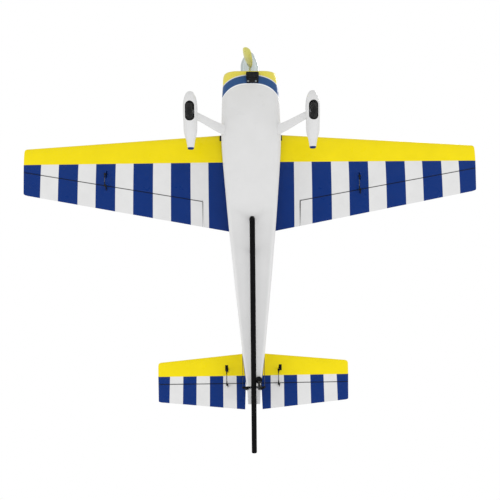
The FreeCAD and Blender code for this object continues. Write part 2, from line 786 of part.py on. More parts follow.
def pant_solid(inset, end_inset):
    wide = size("pant_half_width")
    end = size("pant_rear")
    tip_station = size("pant_front")
    rows = [
        (tip_station + end_inset, 4.0 + inset, 5.5 + inset, -167.0),
        (tip_station + 4.5 + end_inset * 0.6, 10.5, 14.0, -168.0),
        (tip_station + 15.5, 16.0, 22.0, -169.0),
        (-420.0, wide - 0.6, 27.6, -169.5),
        (-394.0, wide, 28.5, -169.5),
        (-362.0, wide - 0.9, 26.4, -168.0),
        (-331.0, 17.3, 20.5, -165.5),
        (-316.0, 12.8, 14.4, -163.5),
        (end + 8.0 - end_inset, 8.2, 9.2, -162.3),
        (end - end_inset * 1.6, 3.0 + inset, 3.6 + inset, -161.8),
    ]
    wires = [pant_wire(row[0], row[1], row[2], row[3], inset) for row in rows]
    return Part.makeLoft(wires, True, inset > 0.0)


pant_outer = pant_solid(0.0, 0.0)
pant_hollow = pant_solid(size("pant_skin"), 2.5)
half_open = 0.5 * size("pant_opening_width")
open_half_length = 0.5 * size("pant_opening_length")
opening = plan_prism([(size("wheel_track_half") - half_open, wheel_y - open_half_length),
                      (size("wheel_track_half") + half_open, wheel_y - open_half_length),
                      (size("wheel_track_half") + half_open, wheel_y + open_half_length),
                      (size("wheel_track_half") - half_open, wheel_y + open_half_length)],
                     -230.0, wheel_z, [(0, 13.1), (1, 13.1), (2, 13.1), (3, 13.1)])
axle_start = V(size("wheel_track_half") - 19.5, wheel_y, wheel_z)
axle_stop = V(size("wheel_track_half") + 19.5, wheel_y, wheel_z)
axle_shape = rod(size("axle_radius"), axle_start, axle_stop)
pant_shape = pant_outer.cut(pant_hollow).cut(opening).cut(axle_shape)


def leg_wire(point, length, thickness, lean):
    """A flattened oval across a gear leg that leans outwards."""
    ellipse = Part.Ellipse(V(0, 0, 0), length * 0.5, thickness * 0.5).toShape()
    turn = Rotation(V(0, 1, 0), lean).multiply(Rotation(V(0, 0, 1), 90.0))
    ellipse.Placement = Placement(point, turn)
    return Part.Wire([ellipse])


leg_shape = Part.makeLoft([leg_wire(V(56.0, -358.0, -66.0), 33.5, 9.0, -38.0),
                           leg_wire(V(88.0, -362.0, -92.0), 31.0, 8.6, -42.0),
                           leg_wire(V(126.0, -375.0, -128.0), 26.0, 8.0, -42.0),
                           leg_wire(V(172.0, -391.0, -168.0), 22.0, 7.5, -40.0)], True, False)
leg_shape = leg_shape.cut(hull_solid).cut(pant_outer)
leg_shape = sorted(leg_shape.Solids, key=lambda solid: solid.Volume)[-1]

# --------------------------------------------------- openings in the fuselage

hatch_cut = block(-size("hatch_half_width"), size("hatch_half_width"), size("hatch_front"),
                  size("hatch_rear"), 48.0, 120.0)
hatch_inner = block(0.4 - size("hatch_half_width"), size("hatch_half_width") - 0.4,
                    size("hatch_front") + 0.4, size("hatch_rear") - 0.4, 48.0, 120.0)
shell = hull_solid.cut(hull_inner)
hatch_shape = shell.common(hatch_inner)
fuselage_shape = shell.cut(hatch_cut).cut(joiner_hole).cut(stabilizer_shape)
cable_height = -12.0
arm_half = 0.5 * size("arm_thickness")
cable_level = cable_height + arm_half + size("cable_radius") + 0.6
for side in (-1.0, 1.0):
    near = side * 34.0 - 10.0
    wide = side * 34.0 + 10.0
    slot = fused([block(near, wide, 288.0, 378.0, cable_level - 2.5, cable_level + 2.5),
                  rod(2.5, V(near, 288, cable_level), V(wide, 288, cable_level)),
                  rod(2.5, V(near, 378, cable_level), V(wide, 378, cable_level))])
    fuselage_shape = fuselage_shape.cut(slot)
horn_swing = 0.5 * size("arm_thickness") + 0.8
fuselage_shape = fuselage_shape.cut(block(-44.0, 44.0, post - 18.0, post + 18.0,
                                          cable_height - horn_swing, cable_height + horn_swing))
fuselage_shape = sorted(fuselage_shape.Solids, key=lambda solid: solid.Volume)[-1]

tray_shape = block(-100, 100, size("cowl_rear") + 12.0, 110.0, -62.0, -59.0).common(hull_inner)

# Canopy glass: a thin bubble on the hatch.
canopy_centre = V(0, 0.5 * (size("hatch_front") + size("hatch_rear")) - 4.0, 60.0)


def bubble(inset):
    matrix = FreeCAD.Matrix()
    matrix.scale(V(43.0 - inset, 126.0 - inset, size("canopy_rise") - inset))
    matrix.move(canopy_centre)
    return Part.makeSphere(1.0).transformGeometry(matrix)


canopy_shape = bubble(0.0).cut(bubble(1.6)).cut(hull_solid)
canopy_shape = canopy_shape.common(block(-60, 60, -300, 60, 50.0, 140.0))
canopy_shape = sorted(canopy_shape.Solids, key=lambda solid: solid.Volume)[-1]

# ---------------------------------------------------------- power and spinner

shaft = ("motor_shaft_radius", 1.0)
shaft_bore = ("motor_bore_radius", 1.0)
plate_front = size("plate_rear") - size("plate_thickness")
hub_rear = plate_front - size("drive_boss_length")
hub_front = hub_rear - size("propeller_hub_length")

bell = turned("motor_bell", [
    (0.0, hub_front - 10.0), (shaft, hub_front - 10.0), (shaft, -536.0),
    (10.0, -536.0), (("bell_radius", 1.0), -530.0), (("bell_radius", 1.0), -484.0),
    (("bell_inner_radius", 1.0), -484.0), (("bell_inner_radius", 1.0), -527.0),
    (shaft, -527.0), (shaft, -441.0), (0.0, -441.0)])
stator = turned("motor_stator", [
    (shaft_bore, -524.0), (("stator_radius", 1.0), -524.0), (("stator_radius", 1.0), -480.0),
    (14.0, -480.0), (14.0, -438.0), (27.0, -436.0), (27.0, ("cowl_rear", 1.0)),
    (shaft_bore, ("cowl_rear", 1.0))])
backplate = turned("spinner_backplate", [
    (shaft, ("plate_rear", 1.0)), (("spinner_radius", 0.96), ("plate_rear", 1.0)),
    (("spinner_radius", 1.0), size("plate_rear") - 0.8),
    (("spinner_radius", 1.0), plate_front), (9.0, plate_front), (9.0, hub_rear),
    (shaft, hub_rear)])

spin_rows = ((1.0, 0.0), (0.995, 0.2), (0.97, 0.42), (0.87, 0.56), (0.63, 0.75),
             (0.46, 0.85), (0.24, 0.945))


def spinner_solid(inset):
    """An ogive from the backplate to the tip, turned about the thrust line."""
    depth = plate_front - size("spinner_tip") - inset
    radius = size("spinner_radius") - inset
    points = [V(radius * part, plate_front - depth * along, 0) for part, along in spin_rows]
    points.append(V(0, plate_front - depth, 0))
    if inset > 0.0:
        outline = Part.makePolygon(points)
    else:
        curve = Part.BSplineCurve()
        curve.interpolate(points)
        outline = curve.toShape()
    face = Part.Face(Part.Wire([outline,
                                Part.makeLine(points[-1], V(0, plate_front, 0)),
                                Part.makeLine(V(0, plate_front, 0), points[0])]))
    return face.revolve(V(0, 0, 0), V(0, 1, 0), 360.0)


blade_place = Placement(V(0, 0, 0), Rotation(V(0, 1, 0), 4.0))


def blade_wire(reach, chord, thickness, pitch):
    """An oval blade section at a distance below the hub, set at its pitch."""
    ellipse = Part.Ellipse(V(0, 0, 0), chord * 0.5, thickness * 0.5).toShape()
    ellipse.Placement = Placement(V(0, 0.5 * (hub_front + hub_rear), -reach),
                                  Rotation(V(0, 0, 1), pitch))
    return Part.Wire([ellipse])


blade = Part.makeLoft([blade_wire(4.0, 15.0, 9.0, 52.0), blade_wire(20.0, 17.0, 7.0, 46.0),
                       blade_wire(52.0, 25.0, 5.0, 31.0), blade_wire(95.0, 27.5, 3.8, 22.0),
                       blade_wire(140.0, 25.5, 2.9, 16.0), blade_wire(170.0, 22.0, 2.2, 13.5),
                       blade_wire(184.0, 15.0, 1.8, 12.5),
                       blade_wire(size("propeller_radius"), 5.0, 1.4, 12.0)], True, False)
other_blade = blade.copy()
other_blade.rotate(V(0, 0, 0), V(0, 1, 0), 180.0)
hub = rod(size("propeller_hub_radius"), V(0, hub_front, 0), V(0, hub_rear, 0))
propeller_shape = fused([hub, blade, other_blade])
propeller_shape = propeller_shape.cut(rod(size("motor_shaft_radius"), V(0, hub_front - 5, 0),
                                          V(0, hub_rear + 5, 0)))
spinner_shape = spinner_solid(0.0).cut(spinner_solid(1.6))
root_space = Part.makeLoft([blade_wire(4.0, 17.0, 11.0, 52.0), blade_wire(20.0, 19.0, 9.0, 46.0),
                            blade_wire(52.0, 27.0, 7.0, 31.0)], True, False)
for half_turn in (0.0, 180.0):
    turn_place = Placement(V(0, 0, 0), Rotation(V(0, 1, 0), half_turn))
    spinner_shape = spinner_shape.cut(placed(root_space, blade_place.multiply(turn_place)))
spinner_shape = sorted(spinner_shape.Solids, key=lambda solid: solid.Volume)[-1]

# ----------------------------------------------------------------- documents

finish(feature_of("fuselage", fuselage_shape), "fuselage")
finish(feature_of("cowl", cowl_shape), "cowl")
finish(feature_of("chin_scoop", scoop), "chin_scoop")
finish(feature_of("equipment_tray", tray_shape), "equipment_tray")
finish(feature_of("canopy_hatch", hatch_shape), "canopy_hatch")
finish(feature_of("canopy_glass", canopy_shape), "canopy_glass")
finish(bell, "motor_bell")
finish(stator, "motor_stator")
finish(backplate, "spinner_backplate")
finish(feature_of("spinner", spinner_shape), "spinner")
finish(feature_of("propeller", propeller_shape), "propeller", blade_place)
finish(feature_of("stand_rod", stand_shape), "stand_rod")
finish(feature_of("stand_post", post_shape), "stand_post")

joiner = doc.addObject("Part::Cylinder", "wing_joiner")
bind(joiner, "Radius", ("joiner_radius", 1.0))
bind(joiner, "Height", ("joiner_half_length", 2.0))
finish(joiner, "wing_joiner",
       Placement(V(-size("joiner_half_length"), size("joiner_station"), size("wing_height")),
                 Rotation(V(0, 1, 0), 90.0)))

battery_box = doc.addObject("Part::Box", "battery_box")
bind(battery_box, "Length", ("battery_width", 1.0))
bind(battery_box, "Width", ("battery_length", 1.0))
bind(battery_box, "Height", ("battery_height", 1.0))
doc.recompute()
battery = doc.addObject("Part::Fillet", "battery")
battery.Base = battery_box
battery.Edges = [(index + 1, 3.0, 3.0) for index in range(12)]
finish(battery, "battery", Placement(V(-0.5 * size("battery_width"), -400.0, -59.0), Rotation()))

controller = doc.addObject("Part::Box", "speed_controller")
controller.Length = 32.0
controller.Width = 62.0
controller.Height = 13.0
finish(controller, "speed_controller", Placement(V(26.0, -232.0, -59.0), Rotation()))
receiver = doc.addObject("Part::Box", "receiver")
receiver.Length = 26.0
receiver.Width = 44.0
receiver.Height = 12.0
finish(receiver, "receiver", Placement(V(-48.0, -40.0, -59.0), Rotation()))

# Servo linkages of the ailerons and elevators.
servo_groups = {"aileron_servos": [], "elevator_servos": []}


def fit_linkage(name, side_name, hinge, along, back, shift, arm_radius, servo_size):
    """Adds an arm and a pushrod; returns both places and the servo."""
    link = linkage_place(hinge, along, back)
    length, depth, height, from_front = servo_size
    arm = lever(name + "_servo_arm_" + side_name, arm_radius, 4.0, 3.0, True,
                0.5 * size("arm_thickness") + 6.0)
    finish(arm, name + "_servo_arm_" + side_name, link)
    bar = pushrod_shape(back, size(arm_radius), shift)
    finish(feature_of(name + "_pushrod_" + side_name, bar), name + "_pushrod_" + side_name, link)
    servo = placed(servo_shape(length, depth, height, from_front), link)
    horn_link = link.multiply(Placement(V(back, 0, shift), Rotation()))
    return link, horn_link, servo


def arm_slot(link, radius, low):
    """The clearance slot that a servo arm swings in."""
    wide = 0.5 * size("arm_thickness") + 0.8
    fan = 0.5 * radius + 4.0
    corners = [V(-5.0, 5.0, -wide), V(5.0, 5.0, -wide), V(fan, -low, -wide), V(-fan, -low, -wide)]
    side = Part.Face(Part.makePolygon(corners + corners[:1])).extrude(V(0, 0, 2.0 * wide))
    return placed(side, link)


for side, side_name in ((1.0, "left"), (-1.0, "right")):
    span, rod_length = WING_LINKS[side]
    sweep_angle = math.radians(hinge_sweep)
    back = rod_length * math.cos(sweep_angle)
    shift = -side * rod_length * math.sin(sweep_angle)
    along = side * (span - size("aileron_inner")) / math.cos(sweep_angle) - shift
    line = aileron_hinge_lines[side]
    link, horn_link, servo = fit_linkage("aileron", side_name, line, along, back, shift,
                                         "wing_arm_radius", (23.0, 22.0, 12.0, 6.0))
    servo_groups["aileron_servos"].append(servo)
    horn = horn_shape(size("wing_arm_radius"), 6.0, 5.0, 16.0)
    finish(feature_of("aileron_horn_" + side_name, horn), "aileron_horn_" + side_name, horn_link)
    wing = wing_shapes[side].cut(servo).cut(arm_slot(link, size("wing_arm_radius"), 30.0))
    wing = sorted(wing.Solids, key=lambda solid: solid.Volume)[-1]
    finish(feature_of("wing_" + side_name, wing), "wing_" + side_name)
    aileron = aileron_shapes[side].cut(placed(horn, horn_link))
    aileron = sorted(aileron.Solids, key=lambda solid: solid.Volume)[-1]
    finish(feature_of("aileron_" + side_name, aileron), "aileron_" + side_name)

tail_link_span = 81.0
tail_link_back = 44.0
for side, side_name in ((1.0, "left"), (-1.0, "right")):
    along = side * (tail_link_span - elevator_inner)
    line = elevator_hinge[side]
    link, horn_link, servo = fit_linkage("elevator", side_name, line, along, tail_link_back,
                                         0.0, "tail_arm_radius", (20.0, 16.0, 9.0, 5.0))
    servo_groups["elevator_servos"].append(servo)
    horn = horn_shape(size("tail_arm_radius"), 4.5, 4.0, 13.0)
    finish(feature_of("elevator_horn_" + side_name, horn), "elevator_horn_" + side_name, horn_link)
    stabilizer_shape = stabilizer_shape.cut(servo)
    stabilizer_shape = stabilizer_shape.cut(arm_slot(link, size("tail_arm_radius"), 26.0))
    elevator = elevator_shapes[side].cut(placed(horn, horn_link))
    elevator = sorted(elevator.Solids, key=lambda solid: solid.Volume)[-1]
    finish(feature_of("elevator_" + side_name, elevator), "elevator_" + side_name)
stabilizer_shape = sorted(stabilizer_shape.Solids, key=lambda solid: solid.Volume)[-1]
finish(feature_of("stabilizer", stabilizer_shape), "stabilizer")
for group in servo_groups:
    finish(feature_of(group, Part.makeCompound(servo_groups[group])), group)
finish(feature_of("aileron_hinges", Part.makeCompound(aileron_metal)), "aileron_hinges")
finish(feature_of("elevator_hinges", Part.makeCompound(elevator_metal)), "elevator_hinges")
finish(feature_of("rudder_hinges", Part.makeCompound(rudder_metal)), "rudder_hinges")
finish(feature_of("fin", fin_shape), "fin")

# Rudder horn, pull-pull cables and the rudder servo.
reach = size("rudder_arm_radius")
rudder_horn = new_body("rudder_horn")
horn_bar = sketch_on(rudder_horn, "horn_bar", -arm_half)
add_polygon(horn_bar, [(("rudder_arm_radius", -1.0), -2.6), (-6.0, -3.6), (6.0, -3.6),
                       (("rudder_arm_radius", 1.0), -2.6), (("rudder_arm_radius", 1.0), 2.6),
                       (18.0, 11.0), (-18.0, 11.0), (("rudder_arm_radius", -1.0), 2.6)])
pad(rudder_horn, horn_bar, "horn_bar_pad", ("arm_thickness", 1.0))
horn_ends = sketch_on(rudder_horn, "horn_ends", -arm_half)
add_circle(horn_ends, ("rudder_arm_radius", 1.0), 0.0, 3.0)
add_circle(horn_ends, ("rudder_arm_radius", -1.0), 0.0, 3.0)
pad(rudder_horn, horn_ends, "horn_ends_pad", ("arm_thickness", 1.0))
horn_bores = sketch_on(rudder_horn, "horn_bores", arm_half)
add_circle(horn_bores, ("rudder_arm_radius", 1.0), 0.0, ("pin_bore_radius", 1.0))
add_circle(horn_bores, ("rudder_arm_radius", -1.0), 0.0, ("pin_bore_radius", 1.0))
rudder_horn.Tip = pocket(rudder_horn, horn_bores, "horn_bores_cut", ("arm_thickness", 1.0))
finish(rudder_horn, "rudder_horn", Placement(V(0, post, cable_height), Rotation()))
horn_gap = block(-30, 30, post - 10, post + 14, cable_height - arm_half, cable_height + arm_half)
rudder_shape = rudder_shape.cut(horn_gap.common(block(-3.7, 3.7, post - 3.7, post + 11.0,
                                                      -20, 0)))
rudder_shape = sorted(rudder_shape.Solids, key=lambda solid: solid.Volume)[-1]
finish(feature_of("rudder", rudder_shape), "rudder")

servo_station = 60.0
servo_arm = new_body("rudder_servo_arm")
arm_bar = sketch_on(servo_arm, "arm_bar", -arm_half)
add_polygon(arm_bar, [(("rudder_arm_radius", -1.0), -2.6), (0.0, -5.0),
                      (("rudder_arm_radius", 1.0), -2.6), (("rudder_arm_radius", 1.0), 2.6),
                      (0.0, 5.0), (("rudder_arm_radius", -1.0), 2.6)])
pad(servo_arm, arm_bar, "arm_bar_pad", ("arm_thickness", 1.0))
arm_discs = sketch_on(servo_arm, "arm_discs", -arm_half)
add_circle(arm_discs, ("rudder_arm_radius", 1.0), 0.0, 3.0)
add_circle(arm_discs, 0.0, 0.0, 6.0)
add_circle(arm_discs, ("rudder_arm_radius", -1.0), 0.0, 3.0)
pad(servo_arm, arm_discs, "arm_discs_pad", ("arm_thickness", 1.0))
arm_stub = sketch_on(servo_arm, "arm_stub", -arm_half - 6.0)
add_circle(arm_stub, 0.0, 0.0, ("servo_shaft_radius", 1.0))
pad(servo_arm, arm_stub, "arm_stub_pad", 7.0)
arm_bores = sketch_on(servo_arm, "arm_bores", arm_half)
add_circle(arm_bores, ("rudder_arm_radius", 1.0), 0.0, ("pin_bore_radius", 1.0))
add_circle(arm_bores, ("rudder_arm_radius", -1.0), 0.0, ("pin_bore_radius", 1.0))
servo_arm.Tip = pocket(servo_arm, arm_bores, "arm_bores_cut", ("arm_thickness", 1.0))
finish(servo_arm, "rudder_servo_arm", Placement(V(0, servo_station, cable_height), Rotation()))

servo_top = cable_height - arm_half - 1.0
servo_case = fused([block(-10, 10, servo_station - 10, servo_station + 30, -52.0,
                          servo_top - 2.0),
                    rod(6.0, V(0, servo_station, servo_top - 2.0), V(0, servo_station, servo_top)),
                    block(-10, 10, servo_station - 18, servo_station + 38, -30.0, -27.0),
                    block(-13, 13, servo_station - 18, servo_station + 38, -59.0, -52.0)])
servo_case = servo_case.cut(rod(size("servo_bore_radius"), V(0, servo_station, servo_top - 7.0),
                                V(0, servo_station, servo_top + 1.0)))
finish(feature_of("rudder_servo", servo_case), "rudder_servo")

for side, side_name in ((1.0, "left"), (-1.0, "right")):
    level = cable_level
    wire_end = V(side * reach, servo_station - 2.0, level)
    wire_far = V(side * reach, post + 2.0, level)
    pieces = [rod(size("cable_radius"), wire_end, wire_far)]
    for station in (servo_station, post):
        pieces.append(rod(size("pin_radius"), V(side * reach, station, cable_height - arm_half - 0.8),
                          V(side * reach, station, level)))
        pieces.append(rod(1.3, V(side * reach, station - 2.5, level),
                          V(side * reach, station + 2.5, level)))
    finish(feature_of("rudder_cable_" + side_name, fused(pieces)), "rudder_cable_" + side_name)

# Landing gear and wheels.
for side, side_name in ((1.0, "left"), (-1.0, "right")):
    leg = leg_shape if side > 0 else mirrored(leg_shape)
    pant = pant_shape if side > 0 else mirrored(pant_shape)
    finish(feature_of("gear_leg_" + side_name, leg), "gear_leg_" + side_name)
    finish(feature_of("wheel_pant_" + side_name, pant), "wheel_pant_" + side_name)
finish(feature_of("axles", Part.makeCompound([axle_shape, mirrored(axle_shape)])), "axles")

for side, side_name in ((1.0, "left"), (-1.0, "right")):
    label = "wheel_" + side_name
    half = ("wheel_width", 0.5)
    back = ("wheel_width", -0.5)
    wheel = turned(label, [
        (("wheel_bore_radius", 1.0), back), (7.0, back), (7.0, ("wheel_width", -0.40)),
        (15.0, ("wheel_width", -0.36)), (("wheel_radius", 0.62), ("wheel_width", -0.36)),
        (("wheel_radius", 0.72), ("wheel_width", -0.47)),
        (("wheel_radius", 0.86), ("wheel_width", -0.46)),
        (("wheel_radius", 0.95), ("wheel_width", -0.34)),
        (("wheel_radius", 1.0), ("wheel_width", -0.14)),
        (("wheel_radius", 1.0), ("wheel_width", 0.14)),
        (("wheel_radius", 0.95), ("wheel_width", 0.34)),
        (("wheel_radius", 0.86), ("wheel_width", 0.46)),
        (("wheel_radius", 0.72), ("wheel_width", 0.47)),
        (("wheel_radius", 0.62), ("wheel_width", 0.36)), (15.0, ("wheel_width", 0.36)),
        (7.0, ("wheel_width", 0.40)), (7.0, half), (("wheel_bore_radius", 1.0), half)])
    finish(wheel, label, Placement(V(side * size("wheel_track_half"), wheel_y, wheel_z),
                                   Rotation(V(0, 0, 1), -90.0)))

# Tail wheel: bracket with an upright bearing, a bent strut and the wheel.
wheel_side = size("tail_wheel_side")
steer = size("tail_steer_station")
bearing_low = -44.5
bracket = rod(10.5, V(wheel_side, steer - 4.0, -40.0), V(wheel_side, steer - 4.0, -20.0))
bracket = bracket.cut(hull_solid)
bracket = sorted(bracket.Solids, key=lambda solid: solid.BoundBox.ZMin)[0]
bearing = rod(4.2, V(wheel_side, steer, bearing_low), V(wheel_side, steer, -39.0))
bracket = fused([bracket, bearing]).cut(rod(1.56, V(wheel_side, steer, -60.0),
                                            V(wheel_side, steer, -37.0)))
finish(feature_of("tail_wheel_bracket", bracket), "tail_wheel_bracket")
tail_station_y = size("tail_wheel_station")
tail_axle = V(wheel_side, tail_station_y,
              wheel_centre_height(tail_station_y, size("tail_wheel_radius")))
outer = wheel_side + 6.4
crown = bearing_low - 1.6
strut = fused([rod(1.5, V(wheel_side, steer, -38.0), V(wheel_side, steer, crown)),
               rod(3.0, V(wheel_side, steer, bearing_low - 0.3), V(wheel_side, steer, crown - 0.6)),
               block(wheel_side - 2.5, outer + 1.0, steer - 3.0, steer + 3.0, crown - 1.8, crown),
               plan_prism([(outer - 1.0, steer - 3.0), (outer + 1.0, steer - 3.0),
                           (outer + 1.0, tail_axle.y + 3.5), (outer - 1.0, tail_axle.y + 3.5)],
                          tail_axle.z - 3.5, crown, []),
               rod(1.4, V(wheel_side - 4.4, tail_axle.y, tail_axle.z),
                   V(outer, tail_axle.y, tail_axle.z))])
finish(feature_of("tail_wheel_strut", strut), "tail_wheel_strut")
tail_wheel = turned("tail_wheel", [
    (1.46, ("tail_wheel_width", -0.5)), (5.0, ("tail_wheel_width", -0.5)),
    (6.5, ("tail_wheel_width", -0.40)),
    (("tail_wheel_radius", 0.72), ("tail_wheel_width", -0.47)),
    (("tail_wheel_radius", 0.90), ("tail_wheel_width", -0.42)),
    (("tail_wheel_radius", 1.0), ("tail_wheel_width", -0.18)),
    (("tail_wheel_radius", 1.0), ("tail_wheel_width", 0.18)),
    (("tail_wheel_radius", 0.90), ("tail_wheel_width", 0.42)),
    (("tail_wheel_radius", 0.72), ("tail_wheel_width", 0.47)),
    (6.5, ("tail_wheel_width", 0.40)), (5.0, ("tail_wheel_width", 0.5)),
    (1.46, ("tail_wheel_width", 0.5))])
finish(tail_wheel, "tail_wheel", Placement(tail_axle, Rotation(V(0, 0, 1), -90.0)))

# Screws: two on the chin block.
screw_solids = []
for x in (-7.0, 16.0):
    screw_solids.append(rod(2.4, V(x, front + 36.5, scoop_low + 0.4),
                            V(x, front + 36.5, scoop_low + 1.6)))
finish(feature_of("screws", Part.makeCompound(screw_solids)), "screws")

# ----------------------------------------------------- placement and output

doc.recompute()
tilt = Rotation(V(1, 0, 0), -math.degrees(rise_angle))
nose_point = tilt.multVec(V(0, size("spinner_tip"), 0))
tail_point = tilt.multVec(far_end)
wheel_point = tilt.multVec(V(0, wheel_y, wheel_z))
rest = V(0, -0.5 * (nose_point.y + tail_point.y), size("wheel_radius") - wheel_point.z)
stand = Placement(rest, tilt)
for obj, label, local in finished:
    obj.Label = label
    obj.Placement = stand.multiply(local)
doc.recompute()
for obj in doc.Objects:
    if "Invalid" in obj.State or "Error" in obj.State:
        raise RuntimeError("object in error: " + obj.Name)
for obj, label, local in finished:
    shape = obj.Shape
    if shape.isNull() or not shape.isValid() or not shape.Solids:
        raise RuntimeError("bad shape: " + label)
    shape.exportStep("parts/%s.step" % label)
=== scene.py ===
import json
import math

import bmesh
import bpy
from mathutils import Matrix, Vector


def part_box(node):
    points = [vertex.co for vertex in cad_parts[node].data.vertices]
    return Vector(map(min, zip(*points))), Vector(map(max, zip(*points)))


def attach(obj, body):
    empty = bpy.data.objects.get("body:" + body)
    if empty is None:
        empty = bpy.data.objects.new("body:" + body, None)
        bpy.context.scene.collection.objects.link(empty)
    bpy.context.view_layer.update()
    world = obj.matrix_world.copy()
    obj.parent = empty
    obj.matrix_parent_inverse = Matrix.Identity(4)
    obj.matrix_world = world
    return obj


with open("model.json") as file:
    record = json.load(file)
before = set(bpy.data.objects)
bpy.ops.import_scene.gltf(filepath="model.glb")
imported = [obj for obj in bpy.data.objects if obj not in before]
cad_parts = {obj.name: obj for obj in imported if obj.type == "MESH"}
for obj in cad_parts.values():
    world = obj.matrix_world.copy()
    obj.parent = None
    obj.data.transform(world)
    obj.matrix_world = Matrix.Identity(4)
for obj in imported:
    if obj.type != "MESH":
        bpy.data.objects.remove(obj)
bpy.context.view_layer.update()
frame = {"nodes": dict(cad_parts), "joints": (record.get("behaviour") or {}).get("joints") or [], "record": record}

scene = bpy.context.scene
nodes = frame["nodes"]
joints = {joint["name"]: joint for joint in frame["joints"]}

# ------------------------------------------------------------ aircraft frame
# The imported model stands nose-up on its wheels. Paint and details are laid
# out in the aircraft's own frame, in mm: X to its left, Y aft, Z up from the
# thrust line. The canopy slide gives the tilt, the rudder hinge the origin.

MM = 0.001
RUDDER_STATION = 428.0
up_axis = Vector(joints["canopy_lift"]["axis"]).normalized()
tilt = math.atan2(up_axis.y, up_axis.z)
turn_down = Matrix.Rotation(-tilt, 4, "X")
rudder_at = Vector(joints["rudder_hinge"]["pos_m"])
origin = rudder_at - (turn_down @ Vector((0.0, RUDDER_STATION * MM, 0.0)))
TO_ROW = Matrix.Translation(origin) @ turn_down @ Matrix.Diagonal((MM, MM, MM, 1.0))


def row(x, y, z):
    """A point of the aircraft frame, in mm, as a point of the row frame, in metres."""
    return TO_ROW @ Vector((x, y, z))


# ------------------------------------------------------------- node building

